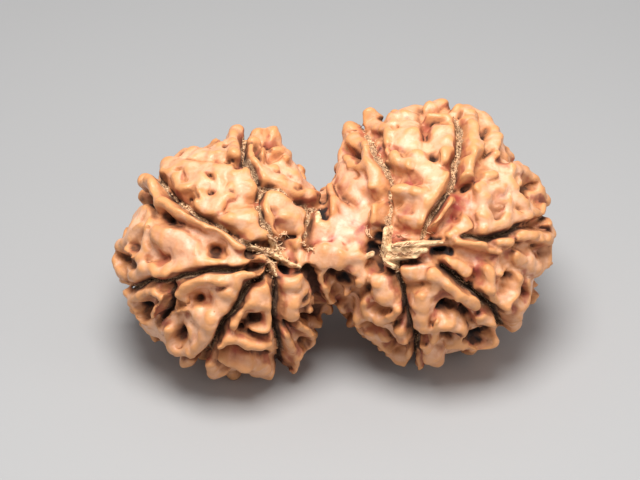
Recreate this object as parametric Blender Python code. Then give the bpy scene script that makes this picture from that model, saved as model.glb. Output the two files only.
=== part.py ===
# Gauri shankar rudraksha: two rudraksha beads that grew together, as one dry, gnarled stone.
import itertools
import math

import bmesh
import bpy
import numpy as np
from mathutils import Matrix

MM = 0.001

# The face frame is in millimetres: u runs to the right along both beads, v up the face and w out
# of it. The stone lies with that face leaning back by FACE_LEAN, on small flats under each bead, and
# the ground is GROUND_DROP below the origin of the face frame.
FACE_LEAN = math.radians(50)
GROUND_DROP = 10.05
PITCH = 0.36
TRIANGLES = 11400
FIRST_CORNER = (-21.0, -14.5, -13.0)
LAST_CORNER = (21.0, 14.5, 13.5)

# The readings of u and v were taken on the plane w = 0, from an eye on the line EYE_U, w = EYE_FAR.
EYE_U = -1.3
EYE_FAR = 200.0

# Centre and radii of the two beads and of the waist between them, at the level of the plateau from
# which ridges rise and into which grooves are cut.
LEFT_BEAD = ((-8.8, -1.4, 0.0), (8.9, 9.4, 8.7))
RIGHT_BEAD = ((8.4, 0.5, -0.6), (9.2, 10.2, 9.1))
WAIST = ((0.0, -0.6, 1.0), (5.0, 4.0, 5.7))
BEAD_BLEND = 1.6
RIDGE_RISE = 0.5
RIDGE_FLARE = 0.3
RIDGE_BLEND = 0.45
GROOVE_LIP = 0.2
FAR = 9.0
WELD = 1e-4
VALLEY_WIDTH = 1.3
VALLEY_DEPTH = 0.3

# A groove is (half-width, depth, points from the pole of its bead out to its edge).
LEFT_GROOVES = (
    (0.32, 0.9, (-5.0, -0.1), (-5.5, 0.6), (-6.0, 1.2), (-6.3, 2.0), (-6.5, 2.7), (-6.6, 3.4),
     (-6.5, 4.0), (-6.9, 4.8), (-7.2, 5.5), (-7.6, 6.3), (-7.8, 7.0), (-7.9, 7.5), (-7.45, 8.9)),
    (0.32, 1.0, (-5.6, -0.9), (-6.5, -0.8), (-7.3, -0.3), (-8.0, 0.0), (-9.2, 0.6), (-9.8, 1.0),
     (-10.4, 1.5), (-11.2, 1.7), (-11.9, 2.3), (-12.4, 2.8), (-13.1, 3.2), (-13.7, 3.6),
     (-14.1, 4.0), (-14.3, 4.6), (-14.5, 5.0), (-14.9, 5.4)),
    (0.35, 1.5, (-5.8, -2.0), (-6.8, -2.25), (-8.0, -2.35), (-9.5, -2.5), (-10.5, -2.7),
     (-11.6, -2.9), (-12.8, -3.0), (-14.0, -3.3), (-15.0, -3.3), (-16.0, -3.6), (-17.0, -3.9),
     (-17.9, -4.0)),
    (0.42, 1.4, (-5.2, -2.6), (-5.9, -2.9), (-6.6, -3.4), (-7.2, -3.8), (-7.6, -4.5), (-8.1, -5.2),
     (-8.5, -5.8), (-9.1, -6.4), (-9.4, -7.1), (-9.9, -7.9), (-10.4, -8.8), (-10.9, -9.8),
     (-11.3, -10.8)),
    (0.32, 1.6, (-4.9, -3.2), (-4.85, -4.2), (-5.0, -5.2), (-5.05, -6.4), (-5.05, -7.6),
     (-5.0, -8.8), (-4.8, -10.0), (-4.6, -11.2)),
)
RIGHT_GROOVES = (
    (0.28, 0.8, (4.3, 0.4), (4.5, 1.2), (4.6, 2.0), (4.6, 2.8), (4.5, 3.4), (4.3, 3.9), (4.3, 4.6),
     (4.15, 5.4), (4.1, 6.2), (3.8, 6.8), (3.5, 7.4), (3.4, 8.0), (3.0, 8.6), (2.6, 9.2), (2.2, 9.7)),
    (0.30, 0.9, (7.5, 0.2), (7.9, 1.2), (8.3, 2.0), (8.7, 2.9), (9.1, 3.6), (9.5, 4.2), (9.9, 4.8),
     (10.0, 5.4), (10.3, 6.2), (10.6, 6.9), (10.8, 7.4), (10.7, 8.2), (10.65, 9.0), (10.5, 9.6),
     (10.2, 10.1), (10.3, 10.8)),
    (0.30, 1.5, (10.9, 0.4), (11.6, 0.35), (12.5, 0.25), (13.3, 0.4), (14.2, 0.7), (15.0, 0.9),
     (16.0, 1.1), (16.6, 1.5), (17.2, 1.7), (17.8, 1.8)),
    (0.45, 1.8, (8.5, -1.7), (9.2, -2.4), (10.0, -3.1), (10.8, -3.6), (11.6, -4.2), (12.2, -4.8),
     (12.7, -5.4), (13.3, -6.0), (13.9, -6.7), (14.4, -7.4), (14.6, -8.2)),
    (0.35, 1.5, (5.1, -2.4), (5.4, -3.2), (5.7, -4.0), (6.0, -4.8), (6.2, -5.6), (6.4, -6.6),
     (6.5, -7.6), (6.5, -8.8), (6.5, -9.8), (6.5, -11.0)),
)
SEAMS = (
    (0.18, 1.0, (-6.5, 4.3), (-6.0, 4.2), (-5.4, 4.0), (-4.8, 3.7), (-4.2, 3.3), (-3.5, 3.0),
     (-2.7, 2.8), (-2.0, 2.6), (-1.4, 2.7)),
    (0.45, 1.6, (-14.0, -3.3), (-13.5, -4.2), (-13.7, -5.2), (-14.2, -6.0), (-14.7, -6.6),
     (-14.9, -7.0)),
    (0.30, 0.8, (-2.4, 2.6), (-2.4, 1.8), (-2.5, 1.0), (-2.5, 0.2), (-2.6, -0.3), (-2.0, -0.9),
     (-1.7, -1.0)),
    (0.35, 2.2, (-2.3, -1.9), (-1.9, -2.5), (-1.65, -3.2), (-1.5, -4.0), (-1.2, -4.8),
     (-0.8, -5.6), (-0.4, -6.4)),
)

# A ridge is (radius, height of its top above the plateau, points along it).
LEFT_RIDGES = (
    # Between the seam of the beads and the first groove.
    (0.80, 0.75, (-6.2, 5.4), (-5.0, 4.9), (-3.8, 4.3), (-2.7, 3.8), (-1.8, 3.5)),
    (0.80, 0.35, (-4.2, 7.3), (-3.6, 6.5), (-3.2, 5.6), (-2.6, 4.7)),
    (0.65, 0.90, (-6.3, 8.9), (-5.6, 9.0), (-5.2, 8.6)),
    (0.55, 0.70, (-7.0, 8.5), (-7.0, 7.6), (-6.9, 6.8), (-6.5, 5.9)),
    (0.30, 0.50, (-6.1, 7.7), (-6.0, 7.0)),
    (0.45, 0.50, (-5.2, 7.6), (-4.6, 7.7)),
    (0.50, 0.30, (-5.9, 5.9), (-4.9, 5.8)),
    # The smooth wedge beside the pole.
    (0.45, 0.45, (-5.6, 3.7), (-5.7, 2.9), (-5.6, 2.0), (-5.3, 1.1), (-4.9, 0.5)),
    (0.50, 0.40, (-5.3, 3.6), (-4.4, 3.1), (-3.4, 2.5), (-2.9, 2.2)),
    (0.95, 0.75, (-3.9, 2.0), (-3.4, 1.5), (-3.2, 1.1)),
    (0.70, 0.30, (-3.4, -0.2), (-3.2, -0.9), (-2.9, -1.4)),
    # The top, between the first and second grooves.
    (0.45, 0.50, (-12.8, 7.4), (-11.6, 7.45), (-10.4, 7.4)),
    (0.50, 0.50, (-14.3, 6.5), (-13.0, 6.4), (-11.6, 6.4), (-10.2, 6.2), (-9.4, 5.9)),
    (0.50, 0.45, (-14.3, 5.7), (-13.6, 5.4), (-13.5, 4.8)),
    (0.75, 0.60, (-12.0, 5.5), (-11.5, 5.3)),
    (0.55, 0.60, (-13.4, 4.5), (-12.6, 4.4)),
    (0.70, 0.50, (-11.6, 3.7), (-10.6, 3.3), (-9.5, 3.6), (-8.5, 4.2), (-7.5, 4.2)),
    (0.60, 0.55, (-11.4, 3.0), (-10.6, 2.7), (-9.6, 2.9)),
    (0.75, 0.65, (-9.2, 1.6), (-8.3, 1.7), (-7.2, 1.8)),
    (0.50, 0.30, (-7.9, 0.8), (-7.0, 0.9), (-6.3, 0.3)),
    (0.35, 0.45, (-9.6, 8.0), (-9.8, 7.3)),
    (0.55, 0.90, (-8.6, 7.2), (-8.65, 8.0), (-8.4, 8.9), (-8.3, 9.1)),
    (0.45, 0.50, (-9.2, 8.2), (-8.7, 8.3)),
    (0.35, 0.50, (-8.2, 8.3), (-8.1, 7.4), (-8.2, 6.8)),
    (0.50, 0.50, (-7.6, 5.6), (-7.8, 4.9), (-7.5, 4.2)),
    (0.80, 0.30, (-9.4, 5.0), (-8.6, 5.0)),
    # The left end, between the second and third grooves.
    (0.42, 0.60, (-14.6, 3.0), (-13.5, 2.7), (-12.4, 2.0), (-11.4, 1.4), (-10.2, 0.8),
     (-8.9, 0.15), (-7.6, -0.55)),
    (0.60, 0.60, (-16.2, 4.75), (-15.5, 4.85), (-15.1, 4.5)),
    (0.55, 0.60, (-15.3, 3.9), (-15.2, 3.3), (-14.6, 2.9)),
    (0.55, 0.40, (-16.3, 2.7), (-16.3, 1.9), (-16.8, 1.1), (-17.5, 0.3), (-18.1, -0.5),
     (-18.3, -1.5), (-18.3, -2.4), (-17.8, -3.0)),
    (1.30, 0.60, (-14.2, 0.3), (-13.4, 0.0)),
    (0.90, 0.30, (-12.8, -0.6), (-11.9, -0.9)),
    (0.55, 0.35, (-17.3, -3.1), (-15.8, -2.7), (-14.2, -2.4), (-12.6, -2.1), (-11.0, -1.9),
     (-9.2, -1.7), (-7.6, -1.65), (-6.3, -1.5)),
    (0.60, 0.30, (-15.6, 1.4), (-15.6, 0.4), (-15.9, -0.5), (-16.3, -1.4), (-16.2, -2.2)),
    (0.35, 0.40, (-17.7, -1.0), (-17.2, -1.35)),
    # Below the left end.
    (0.42, 0.50, (-17.4, -4.9), (-16.4, -4.6), (-15.4, -4.4), (-14.7, -4.5), (-14.3, -4.8)),
    (0.40, 0.50, (-14.3, -4.9), (-14.4, -5.5), (-15.0, -6.0), (-15.4, -6.5)),
    (0.35, 0.50, (-17.4, -5.2), (-17.0, -5.7), (-16.7, -6.4), (-16.4, -6.9)),
    (0.90, 0.30, (-16.2, -7.3), (-15.2, -7.6), (-14.4, -7.8)),
    # Lower left, between the third and fourth grooves.
    (0.50, 0.60, (-6.6, -2.75), (-8.0, -2.95), (-9.6, -3.2), (-11.2, -3.5), (-12.3, -3.9),
     (-12.9, -4.5)),
    (0.50, 0.50, (-12.9, -4.6), (-12.5, -5.1)),
    (0.75, 0.50, (-8.4, -3.8), (-9.0, -4.5), (-9.5, -5.4)),
    (0.30, 0.40, (-13.2, -6.1), (-12.6, -5.75)),
    (0.75, 0.65, (-10.5, -6.7), (-10.6, -7.4)),
    (0.60, 0.60, (-10.7, -7.6), (-11.3, -8.6), (-12.1, -9.3), (-13.0, -9.4), (-13.7, -9.1)),
    (0.45, 0.40, (-14.0, -7.8), (-14.0, -8.6)),
    (0.50, 0.40, (-12.7, -10.2), (-12.1, -10.1)),
    (0.70, 0.25, (-11.6, -5.9), (-11.2, -6.6)),
    # The underside, between the fourth and fifth grooves.
    (0.50, 0.55, (-6.2, -4.2), (-6.9, -4.9), (-7.6, -5.7), (-8.3, -6.6), (-8.6, -7.1)),
    (0.40, 0.55, (-5.9, -4.3), (-5.75, -5.4), (-5.8, -6.5), (-5.7, -7.4)),
    (0.80, 0.45, (-6.4, -4.9), (-6.8, -5.6)),
    (0.38, 0.60, (-6.9, -7.6), (-6.1, -7.6)),
    (0.55, 0.60, (-9.7, -8.5), (-8.8, -8.2), (-7.8, -8.5), (-6.8, -8.7), (-5.8, -8.7)),
    (0.75, 0.60, (-9.3, -9.9), (-8.0, -10.2), (-6.9, -10.5), (-5.9, -10.9)),
    (0.60, 0.70, (-7.2, -11.0), (-6.1, -11.3), (-5.5, -11.3)),
    (0.65, 0.80, (-10.5, -10.4), (-10.4, -11.2)),
    (0.50, 0.60, (-10.2, -11.2), (-9.6, -11.1)),
    # Beside the junction, below the pole.
    (1.00, 0.60, (-3.8, -3.1), (-3.2, -3.8), (-3.4, -4.7)),
    (0.65, 0.65, (-3.7, -5.0), (-3.8, -5.9), (-3.7, -6.6)),
    (0.45, 0.50, (-4.3, -7.7), (-4.1, -8.6), (-3.8, -9.4)),
    (0.45, 0.60, (-3.2, -7.3), (-2.4, -7.6), (-1.8, -8.3), (-1.9, -8.8)),
    (0.45, 0.70, (-3.4, -9.7), (-3.5, -10.5), (-3.6, -11.1)),
    (0.40, 0.30, (-2.3, -5.9), (-1.8, -5.8)),
    (0.30, 0.20, (-1.6, -4.9), (-1.4, -5.3)),
    (0.35, 0.50, (-3.0, -9.2), (-2.2, -9.0)),
)
BRIDGE_RIDGES = (
    (1.00, 0.70, (-1.4, -1.4), (-0.2, -1.5), (1.0, -1.5), (1.8, -1.4)),
    (0.65, 0.60, (1.9, -2.5), (2.4, -3.1), (2.1, -3.7)),
    (0.50, 0.30, (-1.3, -2.2), (-1.0, -3.2), (-0.6, -4.2), (-0.2, -4.9)),
    (0.35, 0.40, (0.8, -4.1), (1.05, -4.6)),
    (0.45, 0.50, (-0.3, 4.3), (-0.1, 3.3), (-0.2, 2.4)),
    (0.55, 0.40, (0.7, -5.6), (1.0, -5.9)),
    (0.50, 0.15, (4.6, -1.0), (6.0, -0.9), (7.2, -0.8)),
)
RIGHT_RIDGES = (
    # Beside the junction, above the bridge.
    (0.85, 0.80, (1.4, 9.3), (1.5, 8.7), (1.9, 8.1)),
    (0.65, 0.75, (2.6, 8.3), (2.9, 7.4), (3.2, 6.4), (3.35, 5.5), (3.1, 4.6)),
    (0.40, 0.55, (1.0, 7.0), (1.5, 6.5), (2.2, 6.2), (2.7, 6.1)),
    (0.45, 0.35, (0.4, 6.3), (0.9, 5.8), (1.4, 5.6)),
    (0.90, 0.25, (0.5, 4.4), (1.2, 3.9), (1.8, 3.4)),
    (0.50, 0.55, (3.5, 2.8), (3.5, 1.7)),
    (0.40, 0.30, (0.9, 8.0), (0.9, 7.5)),
    # The top, between the first and second grooves.
    (0.62, 0.80, (2.9, 10.6), (2.9, 9.9)),
    (0.50, 0.55, (3.3, 9.9), (4.0, 9.5), (4.5, 9.0), (4.6, 8.3)),
    (0.50, 0.55, (4.8, 10.2), (5.0, 9.8)),
    (1.30, 0.35, (6.2, 9.9), (6.6, 8.9), (6.4, 8.0)),
    (0.70, 0.80, (8.2, 11.1), (8.7, 11.3)),
    (0.60, 0.40, (6.7, 10.8), (7.3, 10.9)),
    (0.40, 0.45, (8.1, 10.5), (9.0, 10.5), (9.8, 10.3)),
    (0.60, 0.35, (8.7, 9.4), (9.4, 9.3)),
    (0.70, 0.50, (9.4, 8.2), (9.6, 7.4), (9.4, 6.8)),
    (0.65, 0.70, (5.1, 7.0), (5.4, 6.5), (6.3, 6.4)),
    (0.90, 0.30, (7.0, 6.8), (7.8, 5.8), (8.3, 4.9)),
    (0.75, 0.65, (5.5, 4.2), (6.2, 3.9), (7.2, 3.9)),
    (0.90, 0.25, (6.6, 1.8), (7.2, 2.6)),
    (0.45, 0.50, (9.4, 5.7), (9.1, 4.9), (8.5, 3.8), (7.9, 2.6), (7.5, 1.6)),
    (0.40, 0.30, (4.6, 7.5), (4.5, 6.9)),
    # The right shoulder, between the second and third grooves.
    (0.55, 0.60, (11.6, 10.5), (11.5, 9.6), (11.6, 8.8), (12.0, 8.1)),
    (0.50, 0.65, (11.9, 7.6), (11.6, 6.9), (11.3, 6.1), (11.2, 5.5)),
    (0.70, 0.35, (12.2, 10.7), (12.9, 10.1), (13.4, 9.2), (13.9, 8.4), (14.0, 7.4)),
    (0.35, 0.40, (12.5, 7.7), (12.5, 8.2)),
    (0.40, 0.40, (12.8, 5.6), (13.3, 5.7)),
    (0.75, 0.40, (12.4, 4.6), (12.7, 3.5), (12.7, 2.3), (12.6, 1.3)),
    (0.50, 0.45, (12.6, 1.1), (14.0, 1.45), (15.5, 1.9), (16.8, 2.2), (17.6, 2.6)),
    (0.55, 0.40, (15.0, 6.0), (15.9, 5.9), (16.8, 5.2), (17.2, 4.3), (17.6, 3.3)),
    (0.80, 0.40, (15.7, 3.1), (16.3, 2.7)),
    (0.70, 0.25, (14.6, 5.0), (15.0, 4.2)),
    (0.40, 0.40, (11.9, 4.6), (12.2, 4.3)),
    (0.50, 0.30, (11.2, 1.5), (10.4, 0.7), (9.6, 0.3)),
    # The right end, between the third and fourth grooves.
    (0.38, 0.45, (10.4, -0.3), (11.5, -0.4), (12.7, -0.4)),
    (0.50, 0.65, (14.0, 0.0), (14.7, -0.2)),
    (0.42, 0.40, (13.2, -0.8), (13.9, -1.0)),
    (0.42, 0.45, (15.5, 0.35), (16.3, 0.5), (17.1, 0.6)),
    (0.45, 0.50, (17.9, 1.4), (18.3, 0.6), (17.8, 0.0), (17.2, 0.0)),
    (0.65, 0.55, (15.4, -1.3), (16.1, -1.9), (16.9, -2.3)),
    (0.32, 0.40, (18.0, -0.7), (17.8, -1.5), (17.5, -2.2)),
    (0.45, 0.50, (9.6, -1.9), (10.6, -2.15), (11.3, -2.7)),
    (0.42, 0.60, (13.1, -2.6), (13.3, -3.4), (13.0, -4.1)),
    (0.40, 0.50, (15.8, -3.3), (15.4, -4.3), (14.8, -5.1), (14.7, -5.6)),
    (0.35, 0.40, (16.7, -3.4), (16.7, -4.6), (16.4, -5.5), (15.8, -5.7)),
    (0.52, 0.70, (15.2, -6.4), (15.4, -7.3)),
    (0.40, 0.40, (13.4, -4.9), (14.1, -5.5), (14.8, -6.2)),
    # Lower right, between the fourth and fifth grooves.
    (0.80, 0.35, (6.2, -2.5), (7.4, -2.7), (8.1, -3.0)),
    (0.60, 0.65, (8.3, -3.0), (9.3, -3.7), (10.4, -4.3), (11.3, -5.0), (11.8, -5.6)),
    (0.65, 0.60, (7.2, -4.4), (7.4, -5.4), (7.5, -6.4), (7.6, -7.3)),
    (0.95, 0.50, (9.6, -6.8), (10.5, -7.2)),
    (0.60, 0.80, (12.3, -6.7), (13.0, -7.2)),
    (0.40, 0.60, (13.4, -8.4), (12.7, -8.9)),
    (0.30, 0.60, (8.8, -6.6), (8.6, -7.6), (8.5, -8.5)),
    (0.45, 0.40, (9.6, -9.1), (10.9, -9.0), (12.2, -9.0)),
    (0.65, 0.80, (8.0, -9.9), (8.7, -10.3)),
    (0.50, 0.70, (7.3, -10.5), (7.1, -10.6)),
    (0.35, 0.40, (7.2, -8.8), (7.6, -9.3)),
    (0.45, 0.40, (8.0, -3.9), (8.4, -4.4)),
    # Between the fifth groove and the junction.
    (0.90, 0.40, (3.9, -3.1), (4.4, -3.9), (4.6, -4.7)),
    (0.45, 0.50, (2.5, -4.9), (2.4, -5.8), (2.8, -6.5), (3.8, -6.8), (4.8, -6.4), (5.5, -5.8)),
    (0.60, 0.65, (5.4, -7.6), (5.6, -8.4)),
    (0.42, 0.45, (3.3, -8.2), (4.0, -8.9), (4.6, -9.3)),
    (0.42, 0.50, (4.5, -9.8), (5.3, -10.1), (6.0, -10.3)),
    (0.40, 0.40, (1.6, -6.6), (1.8, -7.2)),
    (0.38, 0.40, (2.6, -7.9), (2.8, -8.4)),
    (0.38, 0.40, (3.6, -9.0), (3.9, -9.5)),
    (0.35, 0.50, (5.9, -9.3), (6.0, -9.7)),
)

# A plate is a broad low swell between the ridges, given as a ridge is.
PLATES = (
    (1.6, 0.35, (-4.6, 6.9), (-3.9, 5.9), (-3.3, 5.2)),
    (1.3, 0.30, (-5.0, 3.0), (-4.6, 2.2), (-4.2, 1.6)),
    (1.5, 0.20, (-12.6, 6.3), (-11.2, 6.2), (-9.8, 6.4)),
    (1.1, 0.30, (-11.5, 4.4), (-9.8, 4.5), (-8.2, 4.8)),
    (1.0, 0.25, (-9.4, 2.2), (-8.0, 2.3), (-7.0, 1.9)),
    (1.8, 0.35, (-16.6, 0.3), (-16.4, -1.6)),
    (1.3, 0.35, (-13.6, -0.2), (-12.4, -1.0), (-11.0, -1.5)),
    (0.8, 0.35, (-9.0, -0.9), (-7.9, -1.2)),
    (1.0, 0.30, (-9.8, -4.4), (-9.4, -5.4)),
    (1.2, 0.20, (-11.0, -6.2), (-10.9, -7.2), (-12.2, -7.2)),
    (1.3, 0.30, (-15.6, -7.2), (-14.6, -8.0)),
    (1.9, 0.35, (-0.9, 0.9), (0.6, 1.6), (1.3, 2.8), (1.0, 4.0)),
    (1.3, 0.30, (1.2, 6.6), (1.6, 5.2), (2.2, 4.6)),
    (1.8, 0.35, (6.0, 9.8), (6.2, 8.6), (6.4, 7.8)),
    (1.3, 0.30, (9.4, 9.4), (9.0, 8.6), (8.9, 7.9)),
    (1.4, 0.25, (7.2, 6.2), (8.0, 5.4)),
    (1.2, 0.30, (6.4, 2.6), (7.0, 1.8)),
    (1.6, 0.30, (12.6, 9.6), (13.1, 8.6)),
    (1.8, 0.35, (12.6, 4.6), (13.6, 2.9), (15.0, 3.4)),
    (1.3, 0.30, (15.9, 5.0), (16.6, 3.8)),
    (1.1, 0.30, (12.6, -1.2), (13.5, -2.6)),
    (1.2, 0.30, (15.6, -1.6), (16.4, -2.3)),
    (0.9, 0.30, (14.3, -4.6), (15.0, -5.4)),
    (1.2, 0.35, (7.4, -2.9), (8.6, -3.2)),
    (1.0, 0.40, (7.4, -5.2), (7.6, -6.8)),
    (1.3, 0.30, (10.2, -7.1), (10.6, -7.4)),
    (1.3, 0.35, (4.0, -3.6), (4.4, -4.6)),
    (1.3, 0.35, (3.2, -7.0), (4.6, -7.4)),
)

# A pit or a crease is (half-width, depth, points along it); a pit has one point.
LEFT_PITS = (
    (0.35, 0.9, (-5.4, 6.5)),
    (0.22, 0.8, (-5.8, 6.7), (-5.3, 6.95), (-4.8, 7.1)),
    (0.25, 0.8, (-5.9, 8.05), (-5.4, 8.0), (-4.9, 8.05)),
    (0.40, 1.0, (-4.9, 0.7), (-4.3, 0.8), (-3.9, 0.6)),
    (0.30, 1.4, (-4.7, 0.1), (-4.4, -0.2), (-4.3, -0.6)),
    (0.28, 0.8, (-9.2, 6.8)),
    (0.25, 0.8, (-10.2, 6.75), (-9.8, 6.65)),
    (0.22, 1.0, (-8.5, 6.6), (-8.3, 6.3), (-8.0, 6.1)),
    (0.22, 0.8, (-11.1, 5.8), (-10.6, 5.5), (-10.3, 5.3)),
    (0.35, 0.55, (-11.4, 4.5), (-10.8, 4.1), (-10.2, 3.95)),
    (0.20, 0.8, (-14.4, 4.9)),
    (0.30, 0.8, (-12.9, 4.0), (-12.4, 3.9), (-12.0, 3.7)),
    (0.35, 0.8, (-9.3, 3.0), (-8.3, 2.9), (-7.3, 3.1), (-6.9, 3.4)),
    (0.20, 0.45, (-12.7, 6.95), (-11.9, 6.9), (-11.0, 6.75)),
    (0.25, 0.8, (-9.4, 0.85), (-8.6, 0.75), (-7.9, 0.4)),
    (0.50, 1.3, (-14.8, 2.05), (-14.3, 1.8), (-13.8, 1.6)),
    (0.38, 1.3, (-17.3, -0.6), (-16.9, -0.8)),
    (0.38, 1.1, (-18.3, -1.3), (-17.8, -1.7), (-17.2, -2.1)),
    (0.40, 0.9, (-15.5, -0.4), (-15.1, -1.1), (-14.6, -1.8)),
    (0.58, 1.2, (-10.2, -1.0)),
    (0.42, 1.0, (-7.2, -1.15)),
    (0.80, 0.35, (-12.0, 0.5), (-11.0, 0.2), (-10.3, -0.3)),
    (0.40, 1.5, (-16.7, 3.7), (-16.0, 3.6), (-15.7, 3.4)),
    (0.20, 0.8, (-15.9, 4.2), (-16.1, 3.9)),
    (0.60, 1.8, (-16.6, -5.4), (-15.9, -5.6), (-15.7, -5.9)),
    (0.30, 1.2, (-16.3, -6.2), (-16.1, -6.6)),
    (0.25, 0.7, (-14.9, -4.3), (-14.3, -4.0)),
    (0.32, 1.3, (-11.4, -4.85)),
    (0.70, 0.5, (-11.9, -4.7), (-10.8, -4.9), (-10.3, -5.4)),
    (0.40, 1.4, (-12.7, -7.9), (-13.1, -8.4), (-13.4, -8.8)),
    (0.55, 0.6, (-12.7, -6.5), (-12.8, -7.4)),
    (0.25, 0.9, (-13.3, -5.4), (-12.9, -5.6)),
    (0.20, 0.5, (-13.4, -6.4), (-12.4, -6.3)),
    (0.50, 1.8, (-6.5, -6.7), (-7.1, -6.8), (-7.8, -7.2)),
    (0.20, 1.2, (-8.4, -7.5), (-7.5, -7.8), (-6.6, -8.1), (-5.6, -8.2)),
    (0.30, 1.4, (-9.6, -9.3), (-8.6, -9.25), (-7.4, -9.55), (-6.4, -9.6), (-5.7, -9.8)),
    (0.40, 1.2, (-9.3, -10.7), (-8.7, -10.9)),
    (0.35, 1.2, (-3.0, -8.5), (-2.7, -8.6)),
    (0.22, 1.0, (-4.6, -7.3), (-3.9, -7.15), (-3.2, -6.9)),
    (0.30, 1.0, (-2.5, -5.2), (-2.2, -5.0)),
    (0.35, 1.2, (-2.6, -6.6), (-2.0, -6.9)),
    (0.42, 3.0, (-4.1, -2.4)),
    (0.30, 0.5, (-6.4, -0.35), (-5.9, -0.25)),
)
BRIDGE_PITS = (
    (0.38, 2.2, (-1.0, 4.4), (-1.05, 3.3), (-0.95, 2.5), (-0.75, 1.9)),
    (0.65, 1.3, (-0.6, -3.0), (0.4, -3.2), (1.2, -3.3)),
    (0.40, 1.0, (0.0, -4.2), (0.3, -4.6)),
    (0.30, 1.0, (2.9, -4.0), (2.3, -4.6), (1.6, -4.7)),
    (0.20, 0.7, (2.4, -0.9), (2.7, -0.7)),
    (0.42, 2.5, (3.2, -0.7), (3.6, -1.0), (3.75, -1.6)),
    (0.35, 2.5, (3.9, 0.25), (3.7, -0.4)),
    (0.40, 3.5, (3.4, -0.8)),
    (0.25, 0.9, (3.0, -2.1), (3.7, -2.2), (4.3, -2.4)),
    (0.35, 1.6, (8.1, 0.1), (8.7, 0.15)),
    (0.32, 1.6, (8.7, -0.85), (9.4, -0.75), (10.0, -0.85)),
)
RIGHT_PITS = (
    (0.22, 0.9, (1.2, 7.5), (1.7, 7.2), (2.1, 6.95)),
    (0.22, 0.7, (0.85, 8.3), (1.0, 7.9)),
    (0.25, 0.5, (2.2, 5.8), (2.5, 5.6)),
    (0.25, 0.5, (2.3, 4.0), (2.9, 3.75), (3.8, 3.9)),
    (0.30, 0.8, (7.7, 9.8), (7.55, 9.1), (7.9, 8.8)),
    (0.42, 1.4, (8.1, 7.4), (8.4, 7.0)),
    (0.22, 0.7, (9.9, 6.9), (9.6, 6.3), (9.3, 6.0)),
    (0.20, 0.7, (4.8, 4.8), (5.6, 5.0), (6.3, 4.95), (7.0, 4.7), (7.5, 4.5)),
    (0.30, 0.7, (5.3, 0.6), (5.8, 0.8), (6.2, 0.5)),
    (0.30, 0.4, (5.1, 5.6), (5.8, 5.5)),
    (0.20, 0.4, (8.0, 11.0), (8.5, 10.95)),
    (0.25, 0.5, (5.3, 3.3), (6.2, 2.9), (6.8, 2.9)),
    (0.28, 1.1, (12.8, 9.5), (12.5, 8.8)),
    (0.35, 1.0, (11.5, 7.5)),
    (0.30, 0.7, (12.0, 6.4), (11.9, 5.5)),
    (0.35, 0.7, (13.5, 3.9), (14.2, 4.1)),
    (0.50, 0.9, (9.9, 1.7), (10.6, 2.1)),
    (0.42, 0.9, (16.0, 4.2), (16.5, 4.5), (16.9, 4.7)),
    (0.35, 1.3, (10.1, 4.2), (10.9, 4.35), (11.4, 4.7)),
    (0.25, 0.8, (10.5, 4.0), (10.9, 3.3), (10.8, 2.7)),
    (0.40, 0.4, (11.2, 3.9), (11.9, 3.6)),
    (0.30, 0.9, (16.8, -0.5), (17.4, -0.6)),
    (0.25, 0.6, (16.8, -0.9), (17.2, -1.3)),
    (0.50, 0.5, (10.8, -1.1), (12.2, -1.3), (13.6, -2.0)),
    (0.30, 0.8, (12.0, -3.0), (11.8, -3.5)),
    (0.25, 1.0, (14.3, -3.15), (15.0, -3.1)),
    (0.40, 0.8, (14.5, -3.7), (14.3, -4.3)),
    (0.33, 1.1, (16.0, -4.2), (16.2, -4.8)),
    (0.20, 0.5, (15.1, -0.6), (15.3, -0.3)),
    (0.40, 0.5, (14.2, -1.9), (14.6, -2.5)),
    (0.42, 1.6, (9.0, -5.3), (10.0, -5.6), (11.0, -6.1), (11.6, -6.7)),
    (0.50, 1.5, (11.5, -8.1), (12.2, -8.2)),
    (0.60, 1.1, (9.3, -8.3), (10.1, -8.5)),
    (0.20, 0.8, (8.4, -6.6), (8.2, -7.4), (7.7, -8.3)),
    (0.30, 0.6, (6.3, -3.5), (7.6, -3.7)),
    (0.45, 0.7, (3.6, -5.75), (4.5, -5.9)),
    (0.20, 0.9, (2.3, -7.3), (3.3, -7.65), (4.1, -7.8), (4.7, -8.5), (5.0, -9.1)),
    (0.40, 0.25, (3.6, -3.9), (4.4, -4.1)),
    (0.20, 0.6, (5.2, -9.3), (6.0, -9.2)),
)

# The hidden side follows a rule: grooves run on from the edge of the face to a pole behind each
# bead, and short knuckles, each with a crease at its foot, fill the sectors between them.
LEFT_EDGE_ANGLES = (82, 132, 196, 226, 255, 293)
RIGHT_EDGE_ANGLES = (124, 79, 44, 8, -54, 260)
BACK_POLES = ((-5.6, -0.9), (5.4, 1.0))
BACK_SEED = 21
BACK_KNUCKLES = 46
KNUCKLE_SPACING = 2.1
GROOVE_CLEARANCE = 1.15


def smooth_min(a, b, blend):
    share = np.clip(0.5 + 0.5 * (b - a) / blend, 0, 1)
    return b + (a - b) * share - blend * share * (1 - share)


def smooth_max(a, b, blend):
    return -smooth_min(-a, -b, blend)


def ellipsoid(points, centre, radii):
    """Roughly the distance to an ellipsoid, less than nothing inside it."""
    scaled = (points - np.array(centre)) / np.array(radii)
    reach = np.linalg.norm(scaled, axis=-1)
    return reach * (reach - 1) / np.maximum(np.linalg.norm(scaled / np.array(radii), axis=-1), 1e-6)


def plateau(points):
    """Roughly the height above the plateau of the two beads and their waist."""
    beads = smooth_min(ellipsoid(points, *LEFT_BEAD), ellipsoid(points, *RIGHT_BEAD), BEAD_BLEND)
    return smooth_min(beads, ellipsoid(points, *WAIST), BEAD_BLEND)


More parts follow.
